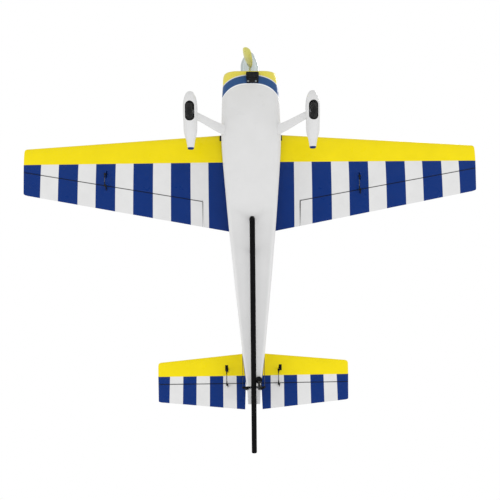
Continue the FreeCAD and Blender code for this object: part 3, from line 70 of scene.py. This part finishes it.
class Tree:
    """A small helper that adds shader nodes and wires them up."""

    def __init__(self, material):
        self.tree = material.node_tree
        self.tree.nodes.clear()
        self.links = self.tree.links

    def add(self, kind, **settings):
        """A new shader node, with its settings."""
        node = self.tree.nodes.new(kind)
        for key, value in settings.items():
            setattr(node, key, value)
        return node

    def feed(self, socket, value):
        """Links a socket to another one, or sets it to a constant."""
        if isinstance(value, bpy.types.NodeSocket):
            self.links.new(value, socket)
        elif value is not None:
            if socket.type == "VECTOR" and not isinstance(value, (int, float)):
                value = value[:3]
            socket.default_value = value

    def math(self, operation, a, b=None, c=None, clamp=False):
        node = self.add("ShaderNodeMath", operation=operation, use_clamp=clamp)
        for socket, value in zip(node.inputs, (a, b, c)):
            self.feed(socket, value)
        return node.outputs[0]

    def vector_math(self, operation, a, b=None):
        node = self.add("ShaderNodeVectorMath", operation=operation)
        self.feed(node.inputs[0], a)
        self.feed(node.inputs[1], b)
        return node.outputs[0]

    def both(self, *masks):
        """1 where every mask is 1."""
        result = masks[0]
        for mask in masks[1:]:
            result = self.math("MULTIPLY", result, mask)
        return result

    def under(self, value, edge, soft=0.6):
        """1 below the edge and 0 above it."""
        return self.math("SUBTRACT", 1.0, self.step(value, edge, soft))

    def line_at(self, value, middle, half, soft=0.5):
        """1 within half of the middle."""
        away = self.math("ABSOLUTE", self.math("SUBTRACT", value, middle))
        return self.under(away, half, soft)

    def along(self, value, start, level, slope):
        """level + slope * (value - start)."""
        return self.math("MULTIPLY_ADD", self.math("SUBTRACT", value, start), slope, level)

    def mix(self, factor, a, b):
        """Colour a where the factor is 0, and b where it is 1."""
        node = self.add("ShaderNodeMix", data_type="RGBA")
        self.feed(node.inputs["Factor"], factor)
        for socket, value in ((node.inputs[6], a), (node.inputs[7], b)):
            self.feed(socket, value)
        return node.outputs[2]

    def step(self, value, edge, soft=0.6):
        """0 below the edge and 1 above it, with a soft paint line between."""
        node = self.add("ShaderNodeMapRange", interpolation_type="SMOOTHSTEP")
        self.feed(node.inputs["Value"], value)
        self.feed(node.inputs["From Min"], edge - soft)
        self.feed(node.inputs["From Max"], edge + soft)
        return node.outputs["Result"]

    def noise(self, vector, scale, detail=3.0, roughness=0.55):
        node = self.add("ShaderNodeTexNoise")
        self.feed(node.inputs["Vector"], vector)
        self.feed(node.inputs["Scale"], scale)
        self.feed(node.inputs["Detail"], detail)
        self.feed(node.inputs["Roughness"], roughness)
        return node.outputs["Fac"]

    def ramp(self, value, low, high, to_low, to_high):
        """Maps low to to_low and high to to_high, and holds the ends."""
        node = self.add("ShaderNodeMapRange")
        for name, item in (("Value", value), ("From Min", low), ("From Max", high),
                           ("To Min", to_low), ("To Max", to_high)):
            self.feed(node.inputs[name], item)
        return node.outputs["Result"]

    def vary(self, noise, to_low, to_high):
        """Spreads a noise, which mostly stays between 0.3 and 0.7, over a range."""
        return self.ramp(noise, 0.3, 0.7, to_low, to_high)

    def bump(self, height, distance, strength=1.0, below=None):
        """A normal from a height, on top of another normal if there is one below."""
        node = self.add("ShaderNodeBump")
        self.feed(node.inputs["Strength"], strength)
        self.feed(node.inputs["Distance"], distance)
        self.feed(node.inputs["Height"], height)
        if below is not None:
            self.feed(node.inputs["Normal"], below)
        return node.outputs["Normal"]

    def aircraft_point(self):
        """Aircraft coordinates in mm, from the object's own coordinates."""
        coords = self.add("ShaderNodeTexCoord").outputs["Object"]
        back = TO_ROW.inverted()
        mapping = self.add("ShaderNodeMapping", vector_type="POINT")
        self.feed(mapping.inputs["Vector"], coords)
        mapping.inputs["Location"].default_value = back.translation
        mapping.inputs["Rotation"].default_value = (tilt, 0.0, 0.0)
        mapping.inputs["Scale"].default_value = (1.0 / MM, 1.0 / MM, 1.0 / MM)
        return mapping.outputs["Vector"]

    def split(self, vector):
        """The x, y and z of a vector."""
        node = self.add("ShaderNodeSeparateXYZ")
        self.feed(node.inputs[0], vector)
        return node.outputs[0], node.outputs[1], node.outputs[2]

    def surface(self, color, roughness, normal=None, metallic=0.0, coat=0.0,
                coat_roughness=0.1, specular=0.5):
        """The principled surface and the material's output."""
        node = self.add("ShaderNodeBsdfPrincipled")
        self.feed(node.inputs["Base Color"], color)
        self.feed(node.inputs["Roughness"], roughness)
        node.inputs["Metallic"].default_value = metallic
        node.inputs["Coat Weight"].default_value = coat
        node.inputs["Coat Roughness"].default_value = coat_roughness
        node.inputs["Specular IOR Level"].default_value = specular
        node.inputs["IOR"].default_value = SURFACE_IOR
        if normal is not None:
            self.feed(node.inputs["Normal"], normal)
        output = self.add("ShaderNodeOutputMaterial")
        self.links.new(node.outputs[0], output.inputs["Surface"])
        return node


def new_material(name):
    """A node material and the helper that fills it."""
    material = bpy.data.materials.new(name)
    material.use_nodes = True
    return material, Tree(material)


def linear(red, green, blue):
    """A display colour from 0 to 255 as a linear colour."""
    values = []
    for part in (red, green, blue):
        part /= 255.0
        values.append(part / 12.92 if part <= 0.04045 else ((part + 0.055) / 1.055) ** 2.4)
    return (*values, 1.0)


SURFACE_IOR = 1.45
YELLOW = linear(241, 219, 0)
BLUE = linear(0, 45, 117)
WHITE = linear(222, 222, 222)
COWL_BLUE = linear(40, 80, 132)
COWL_YELLOW = linear(228, 214, 84)
# A painted highlight, brighter than the white film.
PAINTED_GLINT = linear(246, 248, 250)
DARK = linear(12, 14, 20)

# Paint layout, in mm of the aircraft frame.
WING_YELLOW_END = -271.0
TAIL_YELLOW_END = 395.5
# Where the first white stripe starts, the step to the next, the width of a white one.
WING_STRIPES = (132.0, 115.2, 55.0)
TAIL_STRIPES = (53.7, 83.6, 41.8)
# How far the stripes lean outwards per mm aft: start, level and slope over the side.
WING_FAN = (133.0, 0.006, 0.000146)
TAIL_FAN = (54.0, 0.0, 0.0002)
# Painted shade in the gap where the wing's leading edge meets the fuselage.
ROOT_GAP_SHADE_SIDE = 97.0
ROOT_GAP_SHADE_END = -338.0
# The lines of the aileron and elevator hinges, and the painted shade of the gaps along them.
HINGE_ROOT = 150.0
HINGE_ROOT_STATION = -151.7
HINGE_SLOPE = -96.9 / 557.0
ELEVATOR_HINGE = 420.0
GAP_SHADE_HALF = 1.3
GAP_SHADE_STRENGTH = 0.9
AILERON_END = HINGE_ROOT + 1.0
AILERON_END_SHADE_HALF = GAP_SHADE_HALF + 0.6
# The faces of the elevator servos, on the underside only.
SERVO_SIDE = 84.5
SERVO_STATION = 371.0
SERVO_HALF_WIDTH = 4.6
SERVO_HALF_LENGTH = 9.5
SERVO_PAINT_TOP = 18.0
# The blue side stripe runs from its low edge, which rises towards the tail, up
# to its high edge. A yellow line runs above it. Edges are start, level, slope.
STRIPE_LOW = -36.0
STRIPE_RISE = (335.0, 0.0, 0.11)
STRIPE_HIGH = (-430.0, 18.0, -0.0306)
SIDE_LINE_UP = 7.0
SIDE_LINE_HALF = 3.5
PANT_BLUE_FROM = -295.0
# The fin's level stripes, and the slanting edge of its yellow part.
FIN_STRIPE_FOOT = 6.0
FIN_STRIPE_PITCH = 60.0
FIN_YELLOW_EDGE = (20.0, 372.0, 0.2)
# The cowl's blue band, its front white line and a painted highlight on its rear edge.
# Each edge sweeps back towards the sides: reach, power and back, as swept() uses them.
BAND_FRONT = -528.0
BAND_REAR = -502.0
FRONT_LINE = 3.2
REAR_GLINT_HALF = 1.6
FRONT_SWEEP = (79.0, 2.3, 28.0)
REAR_SWEEP = (84.7, 2.8, 40.0)
# Wheels: the hub and the tread as shares of the radius, the waves of the tread
# over one radius of width, and the rate of the fine ribs on the sidewall.
HUB_SHARE = 0.64
TREAD_SHARE = 0.93
TREAD_TURNS = 30.0
RIB_RATE = 2.4
# The painted rim of the canopy glass, and the bow that leans across it.
CANOPY_RIM = 77.0
BOW_STATION = -148.0
BOW_LEAN = 0.25
BOW_HALF = 4.0


def film_detail(tree, point):
    """Roughness and normal of iron-on film: faint ripples and fine specks."""
    ripple = tree.noise(point, 0.012, 2.0, 0.5)
    speck = tree.noise(point, 0.9, 2.0, 0.6)
    rough = tree.vary(tree.noise(point, 0.03, 3.0), 0.26, 0.38)
    normal = tree.bump(ripple, 0.004, 0.22)
    normal = tree.bump(speck, 0.00012, 0.25, normal)
    return rough, normal


def tinted(tree, color, point, amount, scale=0.02):
    """A colour that drifts a little lighter and darker over the surface."""
    drift = tree.ramp(tree.noise(point, scale, 4.0), 0.25, 0.75, 1.0 - amount, 1.0 + amount)
    node = tree.add("ShaderNodeVectorMath", operation="SCALE")
    tree.feed(node.inputs[0], color)
    tree.feed(node.inputs["Scale"], drift)
    return node.outputs[0]


def film_surface(tree, color, point, drift=0.02, coat=0.06, coat_roughness=0.2, specular=0.2):
    """Finishes a film or paint material in the given colour."""
    rough, normal = film_detail(tree, point)
    tree.surface(tinted(tree, color, point, drift), rough, normal, coat=coat,
                 coat_roughness=coat_roughness, specular=specular)


def striped_film(name, yellow_end, stripes, fan, wing):
    """Yellow ahead of a line, and chordwise blue and white stripes behind it."""
    material, tree = new_material(name)
    point = tree.aircraft_point()
    x, y, z = tree.split(point)
    side = tree.math("ABSOLUTE", x)
    first, pitch, white = stripes
    spread = tree.math("MULTIPLY", tree.math("SUBTRACT", y, yellow_end),
                       tree.along(side, *fan))
    flat_side = tree.math("SUBTRACT", side, spread)
    past_first = tree.math("SUBTRACT", flat_side, first)
    wave = tree.math("FRACT", tree.math("DIVIDE", past_first, pitch))
    half_white = 0.5 * white / pitch
    in_white = tree.line_at(wave, half_white, half_white, 0.4 / pitch)
    in_white = tree.both(in_white, tree.step(flat_side, first, 0.4))
    color = tree.mix(in_white, BLUE, WHITE)
    color = tree.mix(tree.step(y, yellow_end), YELLOW, color)
    if wing:
        # Painted shade: the gap at the wing root's leading edge is drawn dark.
        root_gap_shade = tree.both(tree.under(side, ROOT_GAP_SHADE_SIDE), tree.under(y, ROOT_GAP_SHADE_END))
        color = tree.mix(root_gap_shade, color, DARK)
        # Painted shade: dark lines along the aileron hinge gap and at the aileron's inner end.
        hinge = tree.along(side, HINGE_ROOT, HINGE_ROOT_STATION, HINGE_SLOPE)
        behind = tree.math("SUBTRACT", y, hinge)
        gap_shade = tree.both(tree.line_at(behind, 0.0, GAP_SHADE_HALF), tree.step(side, HINGE_ROOT))
        end = tree.both(tree.line_at(side, AILERON_END, AILERON_END_SHADE_HALF),
                        tree.step(behind, 0.0))
        gap_shade = tree.math("MAXIMUM", gap_shade, end)
    else:
        # Painted shade: a dark line along the elevator hinge gap.
        gap_shade = tree.line_at(y, ELEVATOR_HINGE, GAP_SHADE_HALF)
        face = tree.both(tree.line_at(side, SERVO_SIDE, SERVO_HALF_WIDTH),
                         tree.line_at(y, SERVO_STATION, SERVO_HALF_LENGTH),
                         tree.under(z, SERVO_PAINT_TOP))
        color = tree.mix(face, color, DARK)
    # Lays the painted shade of the hinge gaps over the colour.
    color = tree.mix(tree.math("MULTIPLY", gap_shade, GAP_SHADE_STRENGTH), color, DARK)
    film_surface(tree, color, point, drift=0.035)
    return material


wing_film = striped_film("wing_film", WING_YELLOW_END, WING_STRIPES, WING_FAN, True)
tail_film = striped_film("tail_film", TAIL_YELLOW_END, TAIL_STRIPES, TAIL_FAN, False)


def side_stripe(tree, y, z):
    """Masks of the blue stripe along the fuselage sides, and of the yellow line above it."""
    rise = tree.math("MAXIMUM", tree.along(y, *STRIPE_RISE), 0.0)
    low = tree.math("SUBTRACT", tree.math("SUBTRACT", z, rise), STRIPE_LOW)
    high = tree.math("SUBTRACT", z, tree.along(y, *STRIPE_HIGH))
    blue = tree.both(tree.step(low, 0.0), tree.under(high, 0.0))
    yellow = tree.line_at(high, SIDE_LINE_UP, SIDE_LINE_HALF)
    return blue, yellow


def white_film(name, blue_from=None, stripes=False):
    """White film, blue behind a station or with the side stripes if asked for."""
    material, tree = new_material(name)
    point = tree.aircraft_point()
    x, y, z = tree.split(point)
    color = WHITE
    if blue_from is not None:
        color = tree.mix(tree.step(y, blue_from), WHITE, BLUE)
    if stripes:
        blue, yellow = side_stripe(tree, y, z)
        color = tree.mix(yellow, tree.mix(blue, color, BLUE), YELLOW)
    film_surface(tree, color, point)
    return material


def fin_paint():
    """Yellow ahead of a slanting line, level blue and white stripes behind it."""
    material, tree = new_material("fin_film")
    point = tree.aircraft_point()
    x, y, z = tree.split(point)
    up = tree.math("SUBTRACT", z, FIN_STRIPE_FOOT)
    wave = tree.math("FRACT", tree.math("DIVIDE", up, FIN_STRIPE_PITCH))
    is_blue = tree.both(tree.step(wave, 0.5, 0.012), tree.step(z, FIN_STRIPE_FOOT))
    stripes = tree.mix(is_blue, WHITE, BLUE)
    ahead = tree.math("SUBTRACT", y, tree.along(z, *FIN_YELLOW_EDGE))
    color = tree.mix(tree.step(ahead, 0.0), YELLOW, stripes)
    film_surface(tree, color, point)
    return material


body_film = white_film("body_film", stripes=True)
plain_film = white_film("plain_film")
pant_film = white_film("pant_film", blue_from=PANT_BLUE_FROM)
fin_film = fin_paint()


def swept(tree, side, reach, power, back):
    """How far back a line has moved at this side: back * (side / reach) ** power."""
    curve = tree.math("POWER", tree.math("DIVIDE", side, reach), power)
    return tree.math("MULTIPLY", curve, back)


def cowl_paint():
    """Yellow nose, white line, blue band, painted highlight, then white, swept back up the sides."""
    material, tree = new_material("cowl_paint")
    point = tree.aircraft_point()
    x, y, z = tree.split(point)
    side = tree.math("ABSOLUTE", x)
    from_front = tree.math("SUBTRACT", y, swept(tree, side, *FRONT_SWEEP))
    from_rear = tree.math("SUBTRACT", y, swept(tree, side, *REAR_SWEEP))
    blue, yellow = side_stripe(tree, y, z)
    ahead = tree.mix(tree.step(from_front, BAND_FRONT - FRONT_LINE), COWL_YELLOW, WHITE)
    stripes = tree.mix(yellow, tree.mix(blue, WHITE, COWL_BLUE), YELLOW)
    # Painted highlight: a bright glint line along the band's rear edge.
    rear_glint = tree.line_at(from_rear, BAND_REAR + REAR_GLINT_HALF, REAR_GLINT_HALF)
    stripes = tree.mix(rear_glint, stripes, PAINTED_GLINT)
    behind = tree.mix(tree.step(from_rear, BAND_REAR), COWL_BLUE, stripes)
    color = tree.mix(tree.step(from_front, BAND_FRONT), ahead, behind)
    film_surface(tree, color, point, coat=0.12, coat_roughness=0.15, specular=0.25)
    return material


def plastic(name, color, rough_low, rough_high, grain=0.5, depth=0.0001, coat=0.0, drift=0.1,
            specular=0.5):
    """Moulded plastic or paint with a fine grain."""
    material, tree = new_material(name)
    point = tree.aircraft_point()
    rough = tree.vary(tree.noise(point, 0.12, 4.0), rough_low, rough_high)
    normal = tree.bump(tree.noise(point, grain, 3.0), depth, 0.5)
    tree.surface(tinted(tree, color, point, drift, 0.08), rough, normal, coat=coat,
                 specular=specular)
    return material


def metal(name, color, rough_low, rough_high, streak=(0.05, 2.0, 0.05), depth=0.00004):
    """Turned or drawn metal with fine streaks across one direction."""
    material, tree = new_material(name)
    point = tree.aircraft_point()
    stretched = tree.vector_math("MULTIPLY", point, streak)
    lines = tree.noise(stretched, 1.0, 5.0, 0.7)
    rough = tree.vary(lines, rough_low, rough_high)
    normal = tree.bump(lines, depth, 0.4)
    tree.surface(tinted(tree, color, point, 0.06, 0.05), rough, normal, metallic=1.0)
    return material


cowl_finish = cowl_paint()
black_plastic = plastic("black_plastic", linear(18, 18, 20), 0.42, 0.58, specular=0.3)
rod_paint = plastic("rod_paint", linear(20, 20, 21), 0.5, 0.62, grain=0.25, depth=0.00008,
                    specular=0.02)
yellow_plastic = plastic("yellow_plastic", linear(216, 212, 118), 0.25, 0.36, grain=0.2,
                         depth=0.00005, coat=0.3, drift=0.03)
battery_wrap = plastic("battery_wrap", linear(30, 60, 130), 0.3, 0.5, grain=0.05, depth=0.0004)
spinner_metal = metal("spinner_metal", linear(214, 224, 222), 0.10, 0.20, (0.05, 3.0, 0.05))
aluminium = metal("aluminium", linear(205, 207, 210), 0.25, 0.40)
motor_steel = metal("motor_steel", linear(120, 122, 126), 0.30, 0.45)
screw_steel = metal("screw_steel", linear(168, 176, 182), 0.25, 0.4)
wire_steel = metal("wire_steel", linear(96, 96, 100), 0.28, 0.42)


def plywood():
    """Light plywood with grain along the aircraft."""
    material, tree = new_material("plywood")
    point = tree.aircraft_point()
    grain = tree.noise(tree.vector_math("MULTIPLY", point, (0.4, 0.02, 0.4)), 1.0, 6.0, 0.65)
    color = tree.mix(tree.vary(grain, 0.0, 1.0), linear(196, 158, 104), linear(226, 196, 146))
    tree.surface(color, tree.vary(grain, 0.55, 0.75), tree.bump(grain, 0.0002, 0.4))
    return material


def tinted_glass():
    """A smoked canopy with a painted rim and one painted bow."""
    material, tree = new_material("tinted_glass")
    point = tree.aircraft_point()
    x, y, z = tree.split(point)
    haze = tree.noise(point, 0.03, 3.0)
    leaned = tree.math("MULTIPLY_ADD", z, BOW_LEAN, y)
    bow = tree.line_at(leaned, BOW_STATION, BOW_HALF)
    paint = tree.math("MAXIMUM", tree.under(z, CANOPY_RIM), bow)
    smoke = tinted(tree, linear(34, 44, 58), point, 0.04)
    color = tree.mix(paint, smoke, WHITE)
    rough = tree.math("MULTIPLY_ADD", paint, 0.25, tree.vary(haze, 0.03, 0.08))
    node = tree.surface(color, rough, None, coat=0.6, coat_roughness=0.03)
    tree.feed(node.inputs["Alpha"], tree.math("MULTIPLY_ADD", paint, 0.34, 0.66))
    return material


def tyre(name):
    """Rubber with tread grooves round a pale plastic hub."""
    low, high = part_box(name)
    back = TO_ROW.inverted()
    centre = back @ ((Vector(low) + Vector(high)) * 0.5)
    radius = (high[1] - low[1]) * 0.5 / MM
    material, tree = new_material(name + "_rubber")
    point = tree.aircraft_point()
    local = tree.vector_math("SUBTRACT", point, tuple(centre))
    x, y, z = tree.split(local)
    reach = tree.math("SQRT", tree.math("ADD", tree.math("MULTIPLY", y, y),
                                        tree.math("MULTIPLY", z, z)))
    hub = tree.under(reach, radius * HUB_SHARE, 0.3)
    grooves = tree.math("SINE", tree.math("MULTIPLY", x, TREAD_TURNS / radius))
    grooves = tree.both(tree.step(grooves, 0.55, 0.25), tree.step(reach, radius * TREAD_SHARE))
    dust = tree.noise(point, 0.5, 4.0)
    rubber_color = tree.mix(tree.ramp(dust, 0.3, 0.8, 0.0, 1.0), linear(20, 21, 22),
                            linear(44, 44, 44))
    color = tree.mix(hub, rubber_color, linear(206, 208, 210))
    rough = tree.math("MULTIPLY_ADD", hub, -0.32, tree.vary(dust, 0.62, 0.78))
    ribs = tree.math("SINE", tree.math("MULTIPLY", reach, RIB_RATE))
    height = tree.math("MULTIPLY_ADD", ribs, 0.15, tree.math("MULTIPLY", grooves, -1.0))
    normal = tree.bump(height, 0.0006, 0.6)
    tree.surface(color, rough, normal)
    return material


wood = plywood()
glass = tinted_glass()

FINISH = {
    "fuselage": body_film, "canopy_hatch": plain_film, "fin": fin_film, "rudder": fin_film,
    "gear_leg_left": plain_film, "gear_leg_right": plain_film,
    "wheel_pant_left": pant_film, "wheel_pant_right": pant_film, "cowl": cowl_finish,
    "wing_left": wing_film, "wing_right": wing_film, "aileron_left": wing_film,
    "aileron_right": wing_film, "stabilizer": tail_film, "elevator_left": tail_film,
    "elevator_right": tail_film, "propeller": yellow_plastic, "spinner": spinner_metal,
    "spinner_backplate": aluminium, "wing_joiner": aluminium, "motor_bell": motor_steel,
    "motor_stator": motor_steel, "screws": screw_steel, "battery": battery_wrap,
    "equipment_tray": wood, "canopy_glass": glass, "stand_rod": rod_paint,
    "stand_post": rod_paint, "wheel_left": tyre("wheel_left"), "wheel_right": tyre("wheel_right"),
    "tail_wheel": tyre("tail_wheel"),
}
WIRES = ("pushrod", "cable", "axles", "strut", "hinges")


def finish_for(name):
    """The material of a node."""
    if name in FINISH:
        return FINISH[name]
    if any(word in name for word in WIRES):
        return wire_steel
    return black_plastic


def assign(obj, material):
    """Makes this the only material of an object."""
    obj.data.materials.clear()
    obj.data.materials.append(material)


for name, obj in nodes.items():
    assign(obj, finish_for(name))

# ------------------------------------------------------------ small pieces

RING_POINTS = 16
# Points this close to the end of a pushrod, in metres, belong to its end face.
CAP_DEPTH = 0.0003


def ring(centre, across, up, wide, high, squareness):
    """Points round a rounded rectangle; a squareness of 2 makes an ellipse."""
    points = []
    for index in range(RING_POINTS):
        angle = 2.0 * math.pi * (index + 0.5) / RING_POINTS
        c, s = math.cos(angle), math.sin(angle)
        reach_c = math.copysign(abs(c) ** (2.0 / squareness), c)
        reach_s = math.copysign(abs(s) ** (2.0 / squareness), s)
        points.append(centre + across * (wide * reach_c) + up * (high * reach_s))
    return points


def lofted(name, rings, body, material, smooth=True):
    """A closed piece skinned over rings of points in the row frame."""
    work = bmesh.new()
    loops = [[work.verts.new(point) for point in points] for points in rings]
    count = len(loops[0])
    for first, second in zip(loops, loops[1:]):
        for index in range(count):
            after = (index + 1) % count
            face = work.faces.new((first[index], first[after], second[after], second[index]))
            face.smooth = smooth
    work.faces.new(loops[0])
    work.faces.new(loops[-1])
    bmesh.ops.recalc_face_normals(work, faces=work.faces)
    mesh = bpy.data.meshes.new(name)
    work.to_mesh(mesh)
    work.free()
    piece = bpy.data.objects.new(name, mesh)
    scene.collection.objects.link(piece)
    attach(piece, body)
    assign(piece, material)


def bar_ends(name):
    """The middles of both end faces of a pushrod's bar, in the row frame."""
    obj = nodes[name]
    points = [obj.matrix_world @ vertex.co for vertex in obj.data.vertices]
    middle_point = sum(points, Vector()) / len(points)
    first = max(points, key=lambda point: (point - middle_point).length)
    last = max(points, key=lambda point: (point - first).length)
    along = (last - first).normalized()
    reach = [(point - middle_point).dot(along) for point in points]
    low, high = min(reach), max(reach)
    caps = []
    for level in (low, high):
        near = [p for p, value in zip(points, reach) if abs(value - level) < CAP_DEPTH]
        caps.append(sum(near, Vector()) / len(near))
    return caps


def clevis(name, start, towards, body):
    """A moulded pushrod end: a flat-sided eye, a neck and a threaded barrel."""
    along = (towards - start).normalized()
    across = along.orthogonal().normalized()
    up = along.cross(across)
    # Place along the rod, half width and half height of each section, in mm.
    rows = ((-0.8, 1.2, 2.6), (0.0, 1.6, 2.6), (5.0, 1.6, 2.6), (6.5, 1.4, 1.8), (7.5, 1.4, 1.4),
            (8.0, 1.7, 1.7), (13.0, 1.7, 1.7), (13.8, 1.1, 1.3))
    eye_end = 7.0
    rings = [ring(start + along * (place * MM), across, up, wide * MM, high * MM,
                  squareness=4.0 if place < eye_end else 2.0) for place, wide, high in rows]
    lofted(name, rings, body, black_plastic)


record_bodies = frame["record"]["behaviour"]["bodies"]
for part in ("aileron", "elevator"):
    for side_name in ("left", "right"):
        node_name = part + "_pushrod_" + side_name
        body_name = next(body for body, members in record_bodies.items() if node_name in members)
        near_end, far_end = bar_ends(node_name)
        clevis(node_name + "_clevis_front", near_end, far_end, body_name)
        clevis(node_name + "_clevis_rear", far_end, near_end, body_name)


def cross_recess_shade(name, x, y, z):
    """Painted shade: a thin black cross for the shade in the recess of a screw head that faces down."""
    # The reach of its arms and half their width, in mm.
    arm, half = 1.5, 0.35
    corners = [(-half, -arm), (half, -arm), (half, -half), (arm, -half), (arm, half),
               (half, half), (half, arm), (-half, arm), (-half, half), (-arm, half),
               (-arm, -half), (-half, -half)]
    rings = [[row(x + a, y + b, z + level) for a, b in corners] for level in (-0.12, 0.3)]
    lofted(name, rings, "airframe", black_plastic, smooth=False)


CHIN_SCREW_SIDES = (-7.0, 16.0)
CHIN_SCREW_STATION = -507.5
CHIN_SCREW_FACE = -80.1

# Painted shade: black crosses in the recesses of the two chin screws.
for number, screw_x in enumerate(CHIN_SCREW_SIDES):
    cross_recess_shade("chin_screw_recess_shade_%d" % number, screw_x, CHIN_SCREW_STATION, CHIN_SCREW_FACE)

# ------------------------------------------------------------ floor and light

FLOOR_HALF = 30.0
FLOOR_DARK = (0.80, 0.80, 0.80, 1.0)
FLOOR_PALE = (0.84, 0.84, 0.84, 1.0)
FADE_START = 1.0
FADE_END = 4.0
STUDIO_BELOW = 0.95
STUDIO_ABOVE = 0.68


def floor_paint():
    """Pale paint, seen from above only, which fades into the studio: no horizon shows."""
    material, tree = new_material("floor_paint")
    point = tree.add("ShaderNodeTexCoord").outputs["Object"]
    shade = tree.noise(point, 3.0, 4.0)
    paint = tree.add("ShaderNodeBsdfDiffuse")
    tree.feed(paint.inputs["Color"], tree.mix(shade, FLOOR_DARK, FLOOR_PALE))
    clear = tree.add("ShaderNodeBsdfTransparent")
    back = tree.add("ShaderNodeNewGeometry").outputs["Backfacing"]
    path = tree.add("ShaderNodeLightPath")
    unseen = tree.math("MAXIMUM", path.outputs["Is Shadow Ray"], path.outputs["Is Diffuse Ray"])
    away = tree.add("ShaderNodeVectorMath", operation="LENGTH")
    tree.feed(away.inputs[0], point)
    fade = tree.step(away.outputs["Value"], 0.5 * (FADE_START + FADE_END),
                     0.5 * (FADE_END - FADE_START))
    unseen = tree.math("MAXIMUM", unseen, fade)
    choose = tree.add("ShaderNodeMixShader")
    tree.feed(choose.inputs[0], tree.math("MAXIMUM", back, unseen))
    tree.links.new(paint.outputs[0], choose.inputs[1])
    tree.links.new(clear.outputs[0], choose.inputs[2])
    output = tree.add("ShaderNodeOutputMaterial")
    tree.links.new(choose.outputs[0], output.inputs["Surface"])
    return material


corners = [(-FLOOR_HALF, -FLOOR_HALF, 0), (FLOOR_HALF, -FLOOR_HALF, 0),
           (FLOOR_HALF, FLOOR_HALF, 0), (-FLOOR_HALF, FLOOR_HALF, 0)]
floor_mesh = bpy.data.meshes.new("floor")
floor_mesh.from_pydata(corners, [], [(0, 1, 2, 3)])
floor = bpy.data.objects.new("floor", floor_mesh)
scene.collection.objects.link(floor)
assign(floor, floor_paint())


def studio():
    """A white background to the camera, and light that is brighter from below."""
    world = bpy.data.worlds.new("studio")
    scene.world = world
    world.use_nodes = True
    sky = Tree(world)
    height = sky.split(sky.add("ShaderNodeTexCoord").outputs["Generated"])[2]
    level = sky.ramp(height, -0.1, 0.25, STUDIO_BELOW, STUDIO_ABOVE)
    seen = sky.add("ShaderNodeLightPath").outputs["Is Camera Ray"]
    glow = sky.add("ShaderNodeBackground")
    sky.feed(glow.inputs["Color"], (1.0, 1.0, 1.0, 1.0))
    sky.feed(glow.inputs["Strength"], sky.ramp(seen, 0.0, 1.0, level, 1.0))
    sky_out = sky.add("ShaderNodeOutputWorld")
    sky.links.new(glow.outputs[0], sky_out.inputs["Surface"])


studio()
scene.view_settings.view_transform = "Standard"


def lamp(name, place, target, width, power):
    """A round lamp that the camera does not see, turned to its target."""
    data = bpy.data.lights.new(name, "AREA")
    data.shape = "DISK"
    data.size = width
    data.energy = power
    obj = bpy.data.objects.new(name, data)
    scene.collection.objects.link(obj)
    obj.location = place
    obj.rotation_mode = "QUATERNION"
    obj.rotation_quaternion = (Vector(target) - Vector(place)).to_track_quat("-Z", "Y")
    obj.visible_camera = False


middle = row(0.0, 0.0, 0.0)
for name, side in (("belly_left", 2000.0), ("belly_right", -2000.0)):
    lamp(name, row(side, 900.0, -1150.0), middle, width=0.5, power=6.5)
lamp("top_key", middle + Vector((1.8, -1.6, 2.6)), middle, width=1.4, power=32.0)
lamp("top_fill", middle + Vector((-2.2, 1.4, 2.2)), middle, width=1.8, power=16.0)

# -------------------------------------------------------------------- camera

# Degrees and mm: the camera looks up at the belly from straight below, a little
# turned about the aircraft's long axis and in the picture plane.
VIEW_RIGHT_TURN = -1.02
VIEW_PLANE_TURN = -0.72
VIEW_DISTANCE = 1900.0
VIEW_SIDE = 6.4
LENS = 43.632
SENSOR = 36.0

camera_data = bpy.data.cameras.new("camera")
camera = bpy.data.objects.new("camera", camera_data)
scene.collection.objects.link(camera)
scene.camera = camera
camera_data.sensor_width = SENSOR
camera_data.lens = LENS
camera_data.clip_start = 0.05
camera_data.clip_end = 50.0
turn = (Matrix.Rotation(math.radians(VIEW_RIGHT_TURN), 3, "Y")
        @ Matrix.Rotation(math.radians(VIEW_PLANE_TURN), 3, "Z"))
# The rows of turn are the camera's right, down and forward, in the aircraft frame.
eye = -(turn.transposed() @ Vector((VIEW_SIDE, 0.0, VIEW_DISTANCE)))
axes = Matrix((turn[0], -turn[1], -turn[2])).transposed()
camera.matrix_world = (Matrix.Translation(row(*eye))
                       @ (turn_down.to_3x3() @ axes).to_4x4())
